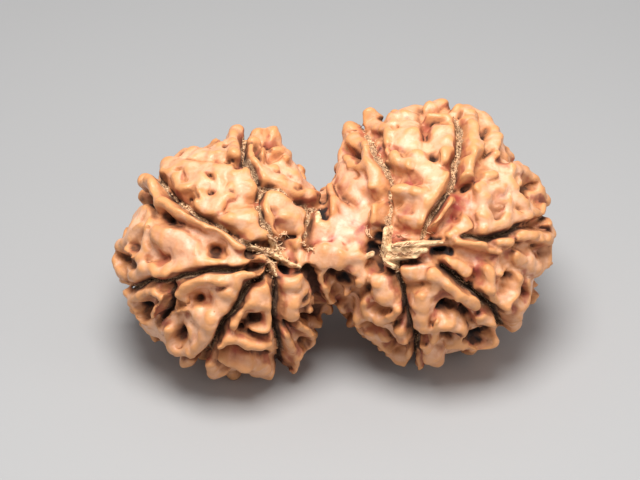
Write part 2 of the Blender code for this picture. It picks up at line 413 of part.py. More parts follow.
def waves(points, seed, count, shortest, longest, size):
    """A sum of plane waves in seeded directions."""
    draw = np.random.default_rng(seed)
    total = np.zeros(points.shape[:-1])
    for _ in range(count):
        direction = draw.normal(size=3)
        direction *= 2 * math.pi / np.linalg.norm(direction) / draw.uniform(shortest, longest)
        total += np.sin(points @ direction + draw.uniform(0, 2 * math.pi))
    return total * size / math.sqrt(count)


def smooth_line(points, step=0.5):
    """A Catmull-Rom curve through the points, read at about this step."""
    given = np.array(points, float)
    if len(given) == 1:
        return given
    ahead = np.vstack([2 * given[0] - given[1], given, 2 * given[-1] - given[-2]])
    line = []
    for a, b, c, d in zip(ahead, ahead[1:], ahead[2:], ahead[3:]):
        count = max(1, round(np.linalg.norm(c - b) / step))
        for t in np.arange(count)[:, None] / count:
            line.append(0.5 * (2 * b + (c - a) * t + (2 * a - 5 * b + 4 * c - d) * t ** 2
                               + (3 * b - a - 3 * c + d) * t ** 3))
    return np.vstack(line + [given[-1]])


def lift(flat_points, level=0.0):
    """The first point at this level of the plateau that the eye sees through each (u, v).

    Past the edge of the beads it is the point that passes them most closely.
    """
    depths = np.arange(LAST_CORNER[2], -4.0, -0.1)
    u = EYE_U + (flat_points[:, :1] - EYE_U) * (1 - depths / EYE_FAR)
    v = flat_points[:, 1:] * (1 - depths / EYE_FAR)
    sight = np.stack([u, v, np.broadcast_to(depths, u.shape)], axis=-1)
    heights = plateau(sight) - level
    crossed = heights < 0
    at = np.where(crossed.any(axis=1), crossed.argmax(axis=1), heights.argmin(axis=1))
    seen = sight[np.arange(len(at)), at]
    for _ in range(3):
        seen[1:-1, 2] = (seen[:-2, 2] + 2 * seen[1:-1, 2] + seen[2:, 2]) / 4
    return seen


def snap(points, level=0.0):
    """Points moved to this level of the plateau along its slope."""
    step = 0.01
    for _ in range(4):
        here = plateau(points)
        slope = np.stack([(plateau(points + step * axis) - here) / step for axis in np.eye(3)], axis=-1)
        slope /= np.maximum(np.sum(slope ** 2, axis=-1, keepdims=True), 0.2)
        points = points - (here - level)[..., None] * slope
    return points


class Stone:
    """A field on a grid, less than nothing inside the stone, that ridges and cuts are worked into."""

    def __init__(self, pitch):
        self.pitch = pitch
        self.low = np.array(FIRST_CORNER)
        axes = [np.arange(a, b, pitch) for a, b in zip(FIRST_CORNER, LAST_CORNER)]
        points = np.stack(np.meshgrid(*axes, indexing="ij"), axis=-1)
        wobble = [waves(points, seed, 7, 1.8, 6.0, 0.16) for seed in (1, 2, 3)]
        self.points = points + np.stack(wobble, axis=-1)
        self.level = plateau(self.points)
        self.field = self.level - waves(self.points, 4, 9, 1.5, 3.2, 0.07)

    def block(self, path, reach):
        """The slices of the grid within reach of a path."""
        first = np.floor((path.min(axis=0) - reach - self.low) / self.pitch).astype(int)
        last = np.ceil((path.max(axis=0) + reach - self.low) / self.pitch).astype(int)
        return tuple(slice(max(a, 0), max(b, 0) + 1) for a, b in zip(first, last))

    def beside(self, path, reach):
        """The block within reach of a path, and how its points lie to the nearest place on the path.

        That is how far above it they are, how far to its side, and how far along it that place is.
        """
        near = self.block(path, reach)
        apart = np.full(self.level[near].shape, FAR)
        along = np.zeros(apart.shape)
        above = np.zeros(apart.shape)
        start = 0.0
        rises = plateau(path)
        ends = range(1, len(path)) if len(path) > 1 else (0,)
        for i in ends:
            a, b, rise = path[i - 1] if i else path[0], path[i], rises[i - 1 if i else 0]
            spot = self.block(np.stack([a, b]), reach)
            inner = tuple(slice(s.start - n.start, s.stop - n.start) for s, n in zip(spot, near))
            here = self.points[spot] - a
            run = b - a
            length = np.linalg.norm(run)
            share = np.clip(here @ run / max(length ** 2, 1e-9), 0, 1)
            gap = np.linalg.norm(here - share[..., None] * run, axis=-1)
            closer = gap < apart[inner]
            apart[inner] = np.where(closer, gap, apart[inner])
            along[inner] = np.where(closer, start + share * length, along[inner])
            climb = self.level[spot] - rise - share * (rises[i] - rise)
            above[inner] = np.where(closer, climb, above[inner])
            start += length
        aside = np.sqrt(np.maximum(apart ** 2 - above ** 2, 0))
        return near, above, aside, along, start

    def ridge(self, radius, path):
        """A round-topped ridge along a path, with a foot that spreads as it goes down."""
        near, above, aside, along, _ = self.beside(path, radius + 2.2)
        knuckled = radius * (1 + 0.1 * np.sin(along * 4.6 + 5 * path[0, 0]))
        top = np.hypot(aside, np.maximum(above, 0)) - knuckled
        ridge = top - RIDGE_FLARE * np.maximum(-above, 0)
        self.field[near] = smooth_min(self.field[near], ridge, RIDGE_BLEND)

    def cut(self, width, depth, path, lip=GROOVE_LIP):
        """A slot with sloping sides along a path on the plateau, open above and shallower at its ends."""
        near, level, aside, along, length = self.beside(path, max(width, 0.5) + depth + 0.6)
        fade = min(0.7, 0.3 * length) or 1.0
        end = np.minimum(along, length - along) if length else np.full(along.shape, fade)
        bottom = depth * (0.45 + 0.55 * np.clip(end / fade, 0, 1))
        half = width * (0.35 + 0.65 * np.clip(1 + level / bottom, 0, 1)) + 0.12 * np.maximum(level, 0)
        slot = smooth_max(aside - half, -(level + bottom), 0.2)
        self.field[near] = smooth_max(self.field[near], -slot, lip)


def back_grooves():
    """Grooves behind each bead, from its edge to its back pole, each with its own wobble."""
    draw = np.random.default_rng(BACK_SEED)
    grooves = []
    beads = ((LEFT_BEAD, LEFT_EDGE_ANGLES), (RIGHT_BEAD, RIGHT_EDGE_ANGLES))
    for (bead, angles), pole in zip(beads, BACK_POLES):
        centre, radii = np.array(bead[0]), np.array(bead[1])
        for angle in angles:
            out = np.array([math.cos(math.radians(angle)), math.sin(math.radians(angle)), 0])
            side = np.array([-out[1], out[0], 0])
            share = np.linspace(0, 1, 24)[:, None]
            swing = draw.uniform(-0.6, 0.6) * np.sin(share * 7 + draw.uniform(0, 6))
            swing += draw.uniform(-0.5, 0.5) * np.sin(share * 13 + draw.uniform(0, 6))
            turn = math.pi / 2 * share
            pole_way = np.array([pole[0] - centre[0], pole[1] - centre[1], -radii[2]])
            line = centre + out * radii * np.cos(turn) + pole_way * np.sin(turn)
            line += side * swing * np.sin(math.pi * share)
            grooves.append(snap(line[:-1]))
    return grooves


def back_knuckles(grooves):
    """Seeded places on the hidden side, clear of the grooves: each is a ridge and the crease at its foot."""
    draw = np.random.default_rng(BACK_SEED + 1)
    taken = []
    knuckles = []
    for bead in (LEFT_BEAD, RIGHT_BEAD):
        centre, radii = np.array(bead[0]), np.array(bead[1])
        placed = 0
        for _ in range(4000):
            if placed == BACK_KNUCKLES:
                break
            way = draw.normal(size=3)
            way /= np.linalg.norm(way)
            turn = draw.normal(size=3)
            length, radius = draw.uniform(0.9, 2.6), draw.uniform(0.45, 0.75)
            height, crease_width = draw.uniform(0.4, 0.7), draw.uniform(0.25, 0.45)
            crease_depth = draw.uniform(0.7, 1.3)
            if way[2] > -0.08:
                continue
            spot = snap((centre + way * radii)[None])[0]
            other = RIGHT_BEAD if bead is LEFT_BEAD else LEFT_BEAD
            if ellipsoid(spot, *other) < 0.8 or spot[2] > centre[2] - 0.6:
                continue
            if any(np.linalg.norm(spot - earlier) < KNUCKLE_SPACING for earlier in taken):
                continue
            if min(np.linalg.norm(line - spot, axis=1).min() for line in grooves) < GROOVE_CLEARANCE:
                continue
            along = np.cross(way, turn)
            along /= np.linalg.norm(along)
            across = np.cross(way, along)
            bow = np.array([-1.0, -0.4, 0.3, 1.0])[:, None]
            curve = spot + along * bow * length / 2 + across * 0.35 * (1 - bow ** 2)
            foot = curve + across * (radius + crease_width * 0.6)
            knuckles.append((radius, snap(curve, height + RIDGE_RISE - radius), crease_width, crease_depth,
                             snap(foot[:3])))
            taken.append(spot)
            placed += 1
    return knuckles


def carve(stone):
    """Valleys, then ridges, then cuts, so that every groove and pit stays open to the air."""
    behind = back_grooves()
    knuckles = back_knuckles(behind)
    for _, _, *points in LEFT_GROOVES + RIGHT_GROOVES:
        stone.cut(VALLEY_WIDTH, VALLEY_DEPTH, snap(lift(smooth_line(points))), lip=0.8)
    for line in behind:
        stone.cut(VALLEY_WIDTH, VALLEY_DEPTH, line, lip=0.8)
    for radius, height, *points in PLATES + LEFT_RIDGES + BRIDGE_RIDGES + RIGHT_RIDGES:
        stone.ridge(radius, lift(smooth_line(points), height + RIDGE_RISE - radius))
    for radius, crest, _, _, _ in knuckles:
        stone.ridge(radius, crest)
    for line in behind:
        stone.cut(0.35, 1.2, line)
    for _, _, width, depth, foot in knuckles:
        stone.cut(width, depth, foot)
    front = LEFT_GROOVES + RIGHT_GROOVES + SEAMS + LEFT_PITS + BRIDGE_PITS + RIGHT_PITS
    for width, depth, *points in front:
        stone.cut(width, depth, snap(lift(smooth_line(points))))


def fill_pinches(field):
    """Where two bits of the stone, or of the air, would meet only along a line or at a point, fills."""
    lower, upper = slice(None, -1), slice(1, None)
    every = slice(None)
    while True:
        before = np.count_nonzero(field < 0)
        for axis in range(3):
            square = [list(pair) for pair in itertools.product((lower, upper), repeat=2)]
            for pair in square:
                pair.insert(axis, every)
            inside = [field[tuple(pair)] < 0 for pair in square]
            pinched = (inside[0] == inside[3]) & (inside[1] == inside[2]) & (inside[0] != inside[1])
            for pair in square:
                fill(field[tuple(pair)], pinched)
        cube = list(itertools.product((lower, upper), repeat=3))
        inside = [field[corner] < 0 for corner in cube]
        count = sum(corner.astype(int) for corner in inside)
        for a, b in zip(inside[:4], inside[:3:-1]):
            for corner in cube:
                fill(field[corner], (count == 2) & a & b | (count == 6) & ~a & ~b)
        if np.count_nonzero(field < 0) == before:
            return


def fill(values, where):
    """Puts these places just inside the stone."""
    values[where & (values >= 0)] = -0.02


def skin(stone):
    """Corners and quads round the inside of the field: one corner for each grid cell it crosses."""
    field = stone.field
    cells, crossings, quads = [], [], []
    for axis in range(3):
        before = np.moveaxis(field, axis, 0)[:-1]
        after = np.moveaxis(field, axis, 0)[1:]
        crosses = np.moveaxis((before < 0) != (after < 0), 0, axis)
        at = np.argwhere(crosses)
        inner = np.moveaxis(before, 0, axis)[crosses]
        outer = np.moveaxis(after, 0, axis)[crosses]
        point = at.astype(float)
        point[:, axis] += inner / (inner - outer)
        ring = []
        for first, second in ((0, 0), (1, 0), (1, 1), (0, 1)):
            cell = at.copy()
            cell[:, (axis + 1) % 3] -= first
            cell[:, (axis + 2) % 3] -= second
            ring.append(np.ravel_multi_index(cell.T, field.shape))
        ring = np.stack(ring, axis=1)
        cells.append(ring.ravel())
        crossings.append(np.repeat(point, 4, axis=0))
        quads.append(np.where((inner < 0)[:, None], ring, ring[:, ::-1]))
    crossings = np.vstack(crossings)
    _, index = np.unique(np.concatenate(cells), return_inverse=True)
    count = np.bincount(index)
    corners = np.stack([np.bincount(index, weights=crossings[:, i]) / count for i in range(3)], axis=1)
    _, quad_index = np.unique(np.vstack(quads), return_inverse=True)
    return stone.low + corners * stone.pitch, quad_index.reshape(-1, 4)


def mesh_of(name, corners, faces):
    mesh = bpy.data.meshes.new(name)
    mesh.from_pydata(corners.tolist(), [], faces.tolist())
    return mesh


def keep_largest_shell(shape):
    """Leaves the outer shell alone: a smaller one is a hollow that lost its mouth, or a loose scrap."""
    shape.verts.ensure_lookup_table()
    unseen = set(shape.verts)
    shells = []
    while unseen:
        reached = {unseen.pop()}
        front = list(reached)
        while front:
            for edge in front.pop().link_edges:
                for vertex in edge.verts:
                    if vertex in unseen:
                        unseen.remove(vertex)
                        reached.add(vertex)
                        front.append(vertex)
        shells.append(reached)
    shells.sort(key=len)
    for shell in shells[:-1]:
        bmesh.ops.delete(shape, geom=list(shell), context="VERTS")


def lean(shape):
    """Leans the face back and lifts the stone so that the ground is at z = 0."""
    bmesh.ops.rotate(shape, matrix=Matrix.Rotation(FACE_LEAN, 3, "X"), verts=shape.verts)
    bmesh.ops.translate(shape, vec=(0, 0, GROUND_DROP), verts=shape.verts)


def thinned(mesh):
    """The mesh with about TRIANGLES triangles."""
    helper = bpy.data.objects.new("helper", mesh)
    bpy.context.scene.collection.objects.link(helper)
    mesh.calc_loop_triangles()
    thin = helper.modifiers.new("Thin", "DECIMATE")
    thin.ratio = TRIANGLES / len(mesh.loop_triangles)
    thin.use_collapse_triangulate = True
    graph = bpy.context.evaluated_depsgraph_get()
    result = bpy.data.meshes.new_from_object(helper.evaluated_get(graph))
    bpy.data.objects.remove(helper)
    return result


def cut_flats(shape):
    """Takes off what would pass through the ground, and closes the stone there with flats at z = 0."""
    geometry = shape.verts[:] + shape.edges[:] + shape.faces[:]
    bmesh.ops.bisect_plane(shape, geom=geometry, dist=WELD, plane_co=(0, 0, 0), plane_no=(0, 0, 1),
                           clear_inner=True)
    rim = [edge for edge in shape.edges if edge.is_boundary]
    bmesh.ops.triangle_fill(shape, use_beauty=True, edges=rim, normal=(0, 0, -1))
    for vertex in shape.verts:
        if abs(vertex.co.z) < WELD:
            vertex.co.z = 0.0


def centre_over_ground(shape):
    """Puts the middle of the stone's box over the origin."""
    for axis in (0, 1):
        places = [vertex.co[axis] for vertex in shape.verts]
        shift = [0.0, 0.0, 0.0]
        shift[axis] = -(min(places) + max(places)) / 2
        bmesh.ops.translate(shape, vec=shift, verts=shape.verts)


def shell_material():
    """Dry, woody shell, tan with an orange cast, with a dull polish from handling."""
    material = bpy.data.materials.new("rudraksha shell")
    material.use_nodes = True
    shader = material.node_tree.nodes["Principled BSDF"]
    shader.inputs["Base Color"].default_value = (0.56, 0.28, 0.13, 1)
    shader.inputs["Roughness"].default_value = 0.5
    shader.inputs["Metallic"].default_value = 0.0
    return material


def main():
    for obj in list(bpy.data.objects):
        bpy.data.objects.remove(obj)
    stone = Stone(PITCH)
    carve(stone)
    fill_pinches(stone.field)
    shape = bmesh.new()
    shape.from_mesh(mesh_of("carved", *skin(stone)))
    keep_largest_shell(shape)
    whole = bpy.data.meshes.new("whole")
    shape.to_mesh(whole)
    shape.clear()
    shape.from_mesh(thinned(whole))
    lean(shape)
    cut_flats(shape)
    keep_largest_shell(shape)
    centre_over_ground(shape)
    bmesh.ops.triangulate(shape, faces=shape.faces)
    bmesh.ops.scale(shape, vec=(MM, MM, MM), verts=shape.verts)
    finished = bpy.data.meshes.new("rudraksha")
    shape.to_mesh(finished)
    shape.free()
    finished.shade_smooth()
    finished.materials.append(shell_material())
    stone_object = bpy.data.objects.new("rudraksha", finished)
    bpy.context.scene.collection.objects.link(stone_object)


if __name__ == "__main__":
    main()
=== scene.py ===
import itertools
import math

import bpy
import numpy as np
from mathutils import Matrix, Vector


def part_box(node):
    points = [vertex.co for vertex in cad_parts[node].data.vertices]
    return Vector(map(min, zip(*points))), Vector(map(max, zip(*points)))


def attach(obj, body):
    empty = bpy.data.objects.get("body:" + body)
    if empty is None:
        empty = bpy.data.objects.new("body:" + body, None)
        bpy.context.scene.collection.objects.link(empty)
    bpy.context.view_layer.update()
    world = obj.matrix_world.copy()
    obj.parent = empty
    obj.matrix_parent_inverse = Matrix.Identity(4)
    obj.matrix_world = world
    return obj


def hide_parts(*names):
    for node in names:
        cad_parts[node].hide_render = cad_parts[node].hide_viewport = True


mm = 0.001

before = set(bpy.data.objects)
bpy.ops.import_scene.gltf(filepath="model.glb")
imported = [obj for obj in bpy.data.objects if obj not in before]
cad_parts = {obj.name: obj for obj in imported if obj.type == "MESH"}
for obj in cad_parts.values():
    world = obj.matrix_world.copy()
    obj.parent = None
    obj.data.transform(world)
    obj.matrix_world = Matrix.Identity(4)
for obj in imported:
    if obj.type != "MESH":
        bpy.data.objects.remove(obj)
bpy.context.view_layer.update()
print("frame loaded")

# The stone is two rudraksha beads that grew together. Its sizes are in millimetres in the frame of
# the face: u runs right along both beads, v up the face and w out of it. The face leans back by
# faceLean and the ground is groundDrop below the middle of the face frame.
stoneForm = {
    "faceLean": math.radians(50),
    "groundDrop": 10.05,
    "pitch": 0.15,
    "quickPitch": 0.27,
    "triangles": 196000,
    "firstCorner": (-21.0, -14.5, -13.0),
    "lastCorner": (21.0, 14.5, 13.5),
    "eyeU": -1.3,  # the readings of u and v below were taken on w = 0, from this u at eyeFar
    "eyeFar": 200.0,
    "sightEnd": -4.0,  # a line from the eye is followed down to this w
    "leftBead": ((-8.8, -1.4, 0.0), (8.9, 9.4, 8.7)),
    "rightBead": ((8.4, 0.5, -0.6), (9.2, 10.2, 9.1)),
    "waist": ((0.0, -0.6, 1.0), (5.0, 4.0, 5.7)),
    "beadBlend": 1.6,
    "ridgeRise": 0.5,
    "ridgeFlare": 0.42,
    "ridgeBlend": 0.4,
    "ridgeReach": 2.2,
    "ridgeSwell": 0.1,  # the share by which a ridge widens and narrows along its run
    "ridgeSwellTurn": 4.6,
    "plateSink": 0.2,
    "stripRise": 0.2,
    "stripFlare": 0.1,
    "stripBlend": 0.1,
    "stripEdge": 0.08,
    "valleyWidth": 1.3,
    "valleyDepth": 0.3,
    "valleyLip": 0.8,
    "grooveLip": 0.20,
    "grooveNarrowing": 0.62,
    "filledWidth": 0.30,  # a groove that holds more pulp than filledFrom is only this furrow
    "filledDepth": 0.35,
    "filledFrom": 0.6,
    "grooveShade": 0.85,  # how much painted shade an open groove gets, less what its pulp hides
    "pulpCover": 0.6,
    "raggedness": 0.35,
    "lumpSize": 0.10,
    "lumpMiddle": 0.6,
    "flatBlend": 0.08,
    "stainReach": 2.2,
    "hollowReaches": ((0.3, 0.25), (0.7, 0.3), (1.4, 0.25), (2.6, 0.2)),  # each with its share
    "bendReach": 0.45,
}

# A furrow and a slot are shallow at their ends and reach their full depth over a fade. Slots narrow
# towards the bottom and open a little above the plateau.
cutForm = {
    "furrowReach": 2.2, "furrowMargin": 1.3,
    "furrowEnd": 0.35, "furrowFade": 0.5,
    "furrowShade": 0.45, "furrowShadeMost": 0.75,
    "furrowShadeFall": (1.4, 0.3), "furrowPulpFall": (3, 1.8),
    "slotReach": 0.5, "slotMargin": 0.6,
    "slotFadeShare": 0.3, "slotFadeMost": 0.7,
    "slotEnd": 0.45, "slotFloor": 0.35,  # shares of the depth and of the width
    "slotFlare": 0.12, "slotBlend": 0.2,
    # How marks fade across the wall of a slot and above its floor: the start and the run of each.
    "slotPulp": (1.3, 0.2, 0.6, 0.25), "slotShade": (1.4, 0.2, 0.55, 0.4),
}

# What a pit adds to the cuts: a press that grows with its depth, and from cutFrom on a slot.
pitForm = {
    "leastWidth": 0.14, "pressSpread": 1.3, "press": 0.10, "pressGrowth": 0.42,
    "cutFrom": 1.0, "narrowing": 0.9, "lip": 0.3,
    # shade and deepShade mark painted shade inside a pit's slot, black inside deep pits
    "wide": 0.5, "deep": 2, "shade": 0.8, "deepShade": 1.0,  # wide or deep ones hold no pulp
}

# Reliefs are sums of plane waves: how many, the shortest and longest in millimetres, and the size.
reliefs = {
    "wander": (7, 1.8, 6.0, 0.16),
    "swell": (9, 1.5, 3.2, 0.07),
    "rags": (9, 0.5, 1.6, 1.0),
    "grain": (12, 0.5, 1.3, 0.022),
    "lumps": (12, 1.5, 3.6, 1.0),
}

# A groove is given as its half-width and depth, then u, v of each point from the pole of its bead
# out to the edge. Seams are given in the same way.
leftGrooves = (
    (0.32, 0.9, -5, -0.1, -5.5, 0.6, -6, 1.2, -6.3, 2, -6.5, 2.7, -6.6, 3.4, -6.5, 4, -6.9, 4.8,
     -7.2, 5.5, -7.6, 6.3, -7.8, 7, -7.9, 7.5, -7.45, 8.9),
    (0.32, 1, -5.9, -1.4, -6.5, -1.05, -7.3, -0.5, -8, 0, -9.2, 0.6, -9.8, 1, -10.4, 1.5, -11.2,
     1.7, -11.9, 2.3, -12.4, 2.8, -13.1, 3.2, -13.7, 3.6, -14.1, 4, -14.3, 4.6, -14.5, 5, -14.9,
     5.4),
    (0.19, 0.7, -5.8, -2, -6.8, -2.25, -8, -2.35, -9.5, -2.5, -10.5, -2.7, -11.6, -2.9, -12.8, -3,
     -14, -3.3, -15, -3.3, -16, -3.6, -17, -3.9, -17.9, -4),
    (0.38, 1.1, -5.2, -2.6, -5.9, -2.9, -6.6, -3.4, -7.2, -3.8, -7.6, -4.5, -8.1, -5.2, -8.5, -5.8,
     -9.1, -6.4, -9.4, -7.1, -10, -7.9, -10.6, -8.7, -11.15, -9.6, -11.6, -10.5),
    (0.28, 1.4, -4.9, -3.2, -4.85, -4.2, -5, -5.2, -5.05, -6.4, -5.05, -7.6, -4.85, -8.8, -4.45,
     -10, -4.15, -11.2),
)
rightGrooves = (
    (0.28, 0.8, 4.3, 0.4, 4.5, 1.2, 4.6, 2, 4.6, 2.8, 4.5, 3.4, 4.3, 3.9, 4.3, 4.6, 4.15, 5.4, 4.1,
     6.2, 3.8, 6.8, 3.5, 7.4, 3.4, 8, 3, 8.6, 2.6, 9.2, 2.2, 9.7),
    (0.3, 0.9, 7.5, 0.2, 7.9, 1.2, 8.3, 2, 8.7, 2.9, 9.1, 3.6, 9.5, 4.2, 9.9, 4.8, 10, 5.4, 10.3,
     6.2, 10.6, 6.9, 10.8, 7.4, 10.7, 8.2, 10.65, 9, 10.5, 9.6, 10.2, 10.1),
    (0.2, 0.9, 10.9, 0.4, 11.6, 0.35, 12.5, 0.25, 13.3, 0.4, 14.2, 0.7, 15, 0.9, 15.8, 1.05),
    (0.36, 1.5, 9.1, -2.3, 10, -3.1, 10.8, -3.6, 11.6, -4.2, 12.2, -4.8, 12.8, -5.35, 13.45, -5.95,
     14.05, -6.65, 14.5, -7.4, 14.7, -8.2),
    (0.28, 1.3, 5.1, -2.4, 5.4, -3.2, 5.7, -4, 6, -4.8, 6.2, -5.6, 6.4, -6.6, 6.6, -7.6, 6.75,
     -8.8, 6.8, -9.8, 6.8, -11),
)
seams = (
    (0.18, 1, -6.5, 4.3, -6, 4.2, -5.4, 4, -4.8, 3.7, -4.2, 3.3, -3.5, 3, -2.7, 2.8, -2, 2.6, -1.4,
     2.7), (0.45, 1.6, -14, -3.3, -13.5, -4.2, -13.7, -5.2, -14.2, -6, -14.7, -6.6, -14.9, -7),
    (0.3, 0.8, -2.4, 2.6, -2.4, 1.8, -2.5, 1, -2.5, 0.2, -2.6, -0.3, -2, -0.9, -1.7, -1),
    (0.15, 0.5, -2.5, 0.3, -3.2, 0.35, -3.9, 0.4, -4.3, 0.1, -4.5, -0.4),
    (0.75, 2.6, -2.4, -1.9, -2, -2.5, -1.75, -3.2, -1.6, -4, -1.4, -4.8, -1, -5.7, -0.5, -6.5),
)

# A ridge is given as its radius and the height of its top above the plateau, then u, v of each
# point along it.
leftRidges = (
    # Between the seam of the beads and the first groove.
    (0.8, 0.75, -6.2, 5.4, -5, 4.9, -3.8, 4.3, -2.7, 3.8, -1.8, 3.5),
    (0.72, 1.15, -6.5, 9.15, -6.4, 8.8), (0.82, 1, -5.35, 8.95, -5.25, 8.7),
    (0.52, 0.75, -7.1, 8.5, -7, 8.2), (0.42, 0.55, -7.1, 7.6, -7, 7),
    (0.62, 0.95, -6.9, 6.6, -6.75, 6.35), (0.5, 0.65, -6.5, 5.8, -6.2, 5.5),
    (0.25, 0.5, -6.25, 7.8, -6.2, 7.2), (0.45, 0.6, -5.2, 7.55, -4.8, 7.45),
    (0.28, 0.4, -4.1, 7.7, -4.2, 6.9), (0.5, 0.3, -5.9, 5.9, -4.9, 5.8),
    # The smooth wedge beside the pole.
    (0.45, 0.45, -5.6, 3.7, -5.7, 2.9, -5.6, 2, -5.3, 1.1, -4.9, 0.5),
    (0.5, 0.4, -5.3, 3.6, -4.4, 3.1, -3.4, 2.5, -2.9, 2.2),
    (0.95, 0.75, -3.9, 2, -3.4, 1.5, -3.2, 1.1), (0.7, 0.3, -3.4, -0.2, -3.2, -0.9, -2.9, -1.4),
    (0.55, 0.3, -7.3, 0.25, -6.6, 0.25, -5.9, 0.4),
    # The top, between the first and second grooves.
    (0.42, 0.25, -12.8, 7.25, -11.6, 7.3, -10.4, 7.2),
    (0.5, 0.5, -14.3, 6.5, -13, 6.4, -11.6, 6.4, -10.2, 6.2, -9.4, 5.9),
    (0.5, 0.45, -14.3, 5.7, -13.6, 5.4, -13.5, 4.8), (0.75, 0.6, -12, 5.5, -11.5, 5.3),
    (0.55, 0.6, -13.4, 4.5, -12.6, 4.4),
    (0.7, 0.5, -11.6, 3.7, -10.6, 3.3, -9.5, 3.6, -8.5, 4.2, -7.5, 4.2),
    (0.6, 0.55, -11.4, 3, -10.6, 2.7, -9.6, 2.9), (0.75, 0.65, -9.2, 1.6, -8.3, 1.7, -7.2, 1.8),
    (0.5, 0.3, -7.9, 0.8, -7, 0.9, -6.3, 0.3), (0.35, 0.45, -9.6, 8, -9.8, 7.3),
    (0.55, 0.9, -8.6, 7.2, -8.65, 8, -8.4, 8.9, -8.25, 9.35), (0.5, 0.95, -8.2, 9.3, -7.9, 8.9),
    (0.45, 0.5, -9.2, 8.2, -8.7, 8.3), (0.35, 0.5, -8.2, 8.3, -8.1, 7.4, -8.2, 6.8),
    (0.5, 0.5, -7.6, 5.6, -7.8, 4.9, -7.5, 4.2), (0.9, 0.4, -9.6, 5.2, -8.6, 5.1),
    # The left end, between the second and third grooves.
    (0.42, 0.6, -14.6, 3, -13.5, 2.7, -12.4, 2, -11.4, 1.4, -10.2, 0.8, -8.9, 0.15, -7.6, -0.55),
    (0.6, 0.6, -16.2, 4.75, -15.5, 4.85, -15.1, 4.5),
    (0.55, 0.6, -15.3, 3.9, -15.2, 3.3, -14.6, 2.9),
    (0.45, 0.1, -15.8, 2.6, -15.9, 1.9, -16.2, 1.1),
    (0.55, 0.35, -16.6, 0.9, -17.2, 0.3, -18, -0.5, -18.3, -1.5, -18.3, -2.4, -17.8, -3),
    (1.3, 0.6, -14.2, 0.3, -13.4, 0), (0.9, 0.3, -12.8, -0.6, -11.9, -0.9),
    (0.55, 0.35, -17.3, -3.1, -15.8, -2.7, -14.2, -2.4, -12.6, -2.1, -11, -1.9, -9.2, -1.7, -7.6,
     -1.65, -6.3, -1.5), (0.6, 0.3, -15.6, 1.4, -15.6, 0.4, -15.9, -0.5, -16.3, -1.4, -16.2, -2.2),
    (0.35, 0.4, -17.7, -1, -17.2, -1.35),
    # Below the left end.
    (0.42, 0.5, -17.8, -4.4, -17.4, -4.8, -16.4, -4.6, -15.4, -4.4, -14.7, -4.5, -14.3, -4.8),
    (0.4, 0.5, -14.3, -4.9, -14.4, -5.5, -15, -6, -15.4, -6.5),
    (0.35, 0.5, -17.4, -5.2, -17, -5.7, -16.7, -6.4, -16.4, -6.9),
    (0.75, 0.05, -15.6, -6.9, -14.8, -7.2, -14.1, -7.5),
    # Lower left, between the third and fourth grooves.
    (0.5, 0.8, -6.6, -2.75, -8, -2.95, -9.6, -3.2, -11.2, -3.5, -12.3, -3.9, -12.9, -4.5),
    (0.5, 0.5, -12.9, -4.6, -12.5, -5.1), (0.75, 0.65, -8.4, -3.8, -9, -4.5, -9.5, -5.4),
    (0.3, 0.4, -13.2, -6.1, -12.6, -5.75), (0.8, 0.9, -10.5, -6.7, -10.6, -7.4),
    (0.6, 0.72, -10.7, -7.6, -11.3, -8.6, -12.1, -9.3, -13, -9.4, -13.7, -9.1),
    (0.45, 0.4, -14, -7.8, -14, -8.6), (0.5, 0.4, -12.7, -10.2, -12.1, -10.1),
    (0.7, 0.25, -11.6, -5.9, -11.2, -6.6),
    # The underside, between the fourth and fifth grooves.
    (0.5, 0.7, -6.2, -4.2, -6.9, -4.9, -7.6, -5.7, -8.3, -6.6, -8.6, -7.1),
    (0.4, 0.55, -5.9, -4.3, -5.75, -5.4, -5.8, -6.5, -5.7, -7.4),
    (0.8, 0.45, -6.4, -4.9, -6.8, -5.6), (0.4, 0.8, -6.9, -7.6, -6, -7.5),
    (0.6, 0.85, -9.7, -8.6, -8.8, -8.2, -7.8, -8.5, -6.8, -8.7, -5.8, -8.7),
    (0.75, 0.8, -9.3, -9.9, -8, -10.2, -6.9, -10.5, -5.9, -10.9),
    (0.6, 0.7, -7.2, -11, -6.1, -11.3, -5.5, -11.3), (0.65, 0.8, -10.5, -10.4, -10.4, -11.2),
    (0.5, 0.6, -10.2, -11.2, -9.6, -11.1),
    # Beside the junction, below the pole.
    (1.1, 0.6, -3.6, -3.3, -3.1, -3.8, -3.1, -4.5), (0.65, 0.65, -3.7, -5, -3.8, -5.9, -3.7, -6.6),
    (0.45, 0.5, -4.3, -7.7, -4.1, -8.6, -3.8, -9.4),
    (0.45, 0.6, -3.2, -7.3, -2.4, -7.6, -1.8, -8.3, -1.9, -8.8),
    (0.45, 0.7, -3.4, -9.7, -3.5, -10.5, -3.6, -11.1), (0.4, 0.3, -2.3, -5.9, -1.8, -5.8),
    (0.3, 0.2, -1.6, -4.9, -1.4, -5.3), (0.35, 0.5, -3, -9.2, -2.2, -9),
)
bridgeRidges = (
    (1, 0.7, -1.4, -1.4, -0.2, -1.5, 1, -1.5, 1.8, -1.4),
    (0.65, 0.6, 1.9, -2.5, 2.4, -3.1, 2.1, -3.7),
    (0.5, 0.3, -1.3, -2.2, -1, -3.2, -0.6, -4.2, -0.2, -4.9), (0.35, 0.4, 0.8, -4.1, 1.05, -4.6),
    (0.45, 0.5, -0.3, 4.3, -0.1, 3.3, -0.2, 2.4), (0.55, 0.4, 0.7, -5.6, 1, -5.9),
    (0.5, 0.15, 4.6, -1, 6, -0.9, 7.2, -0.8),
)
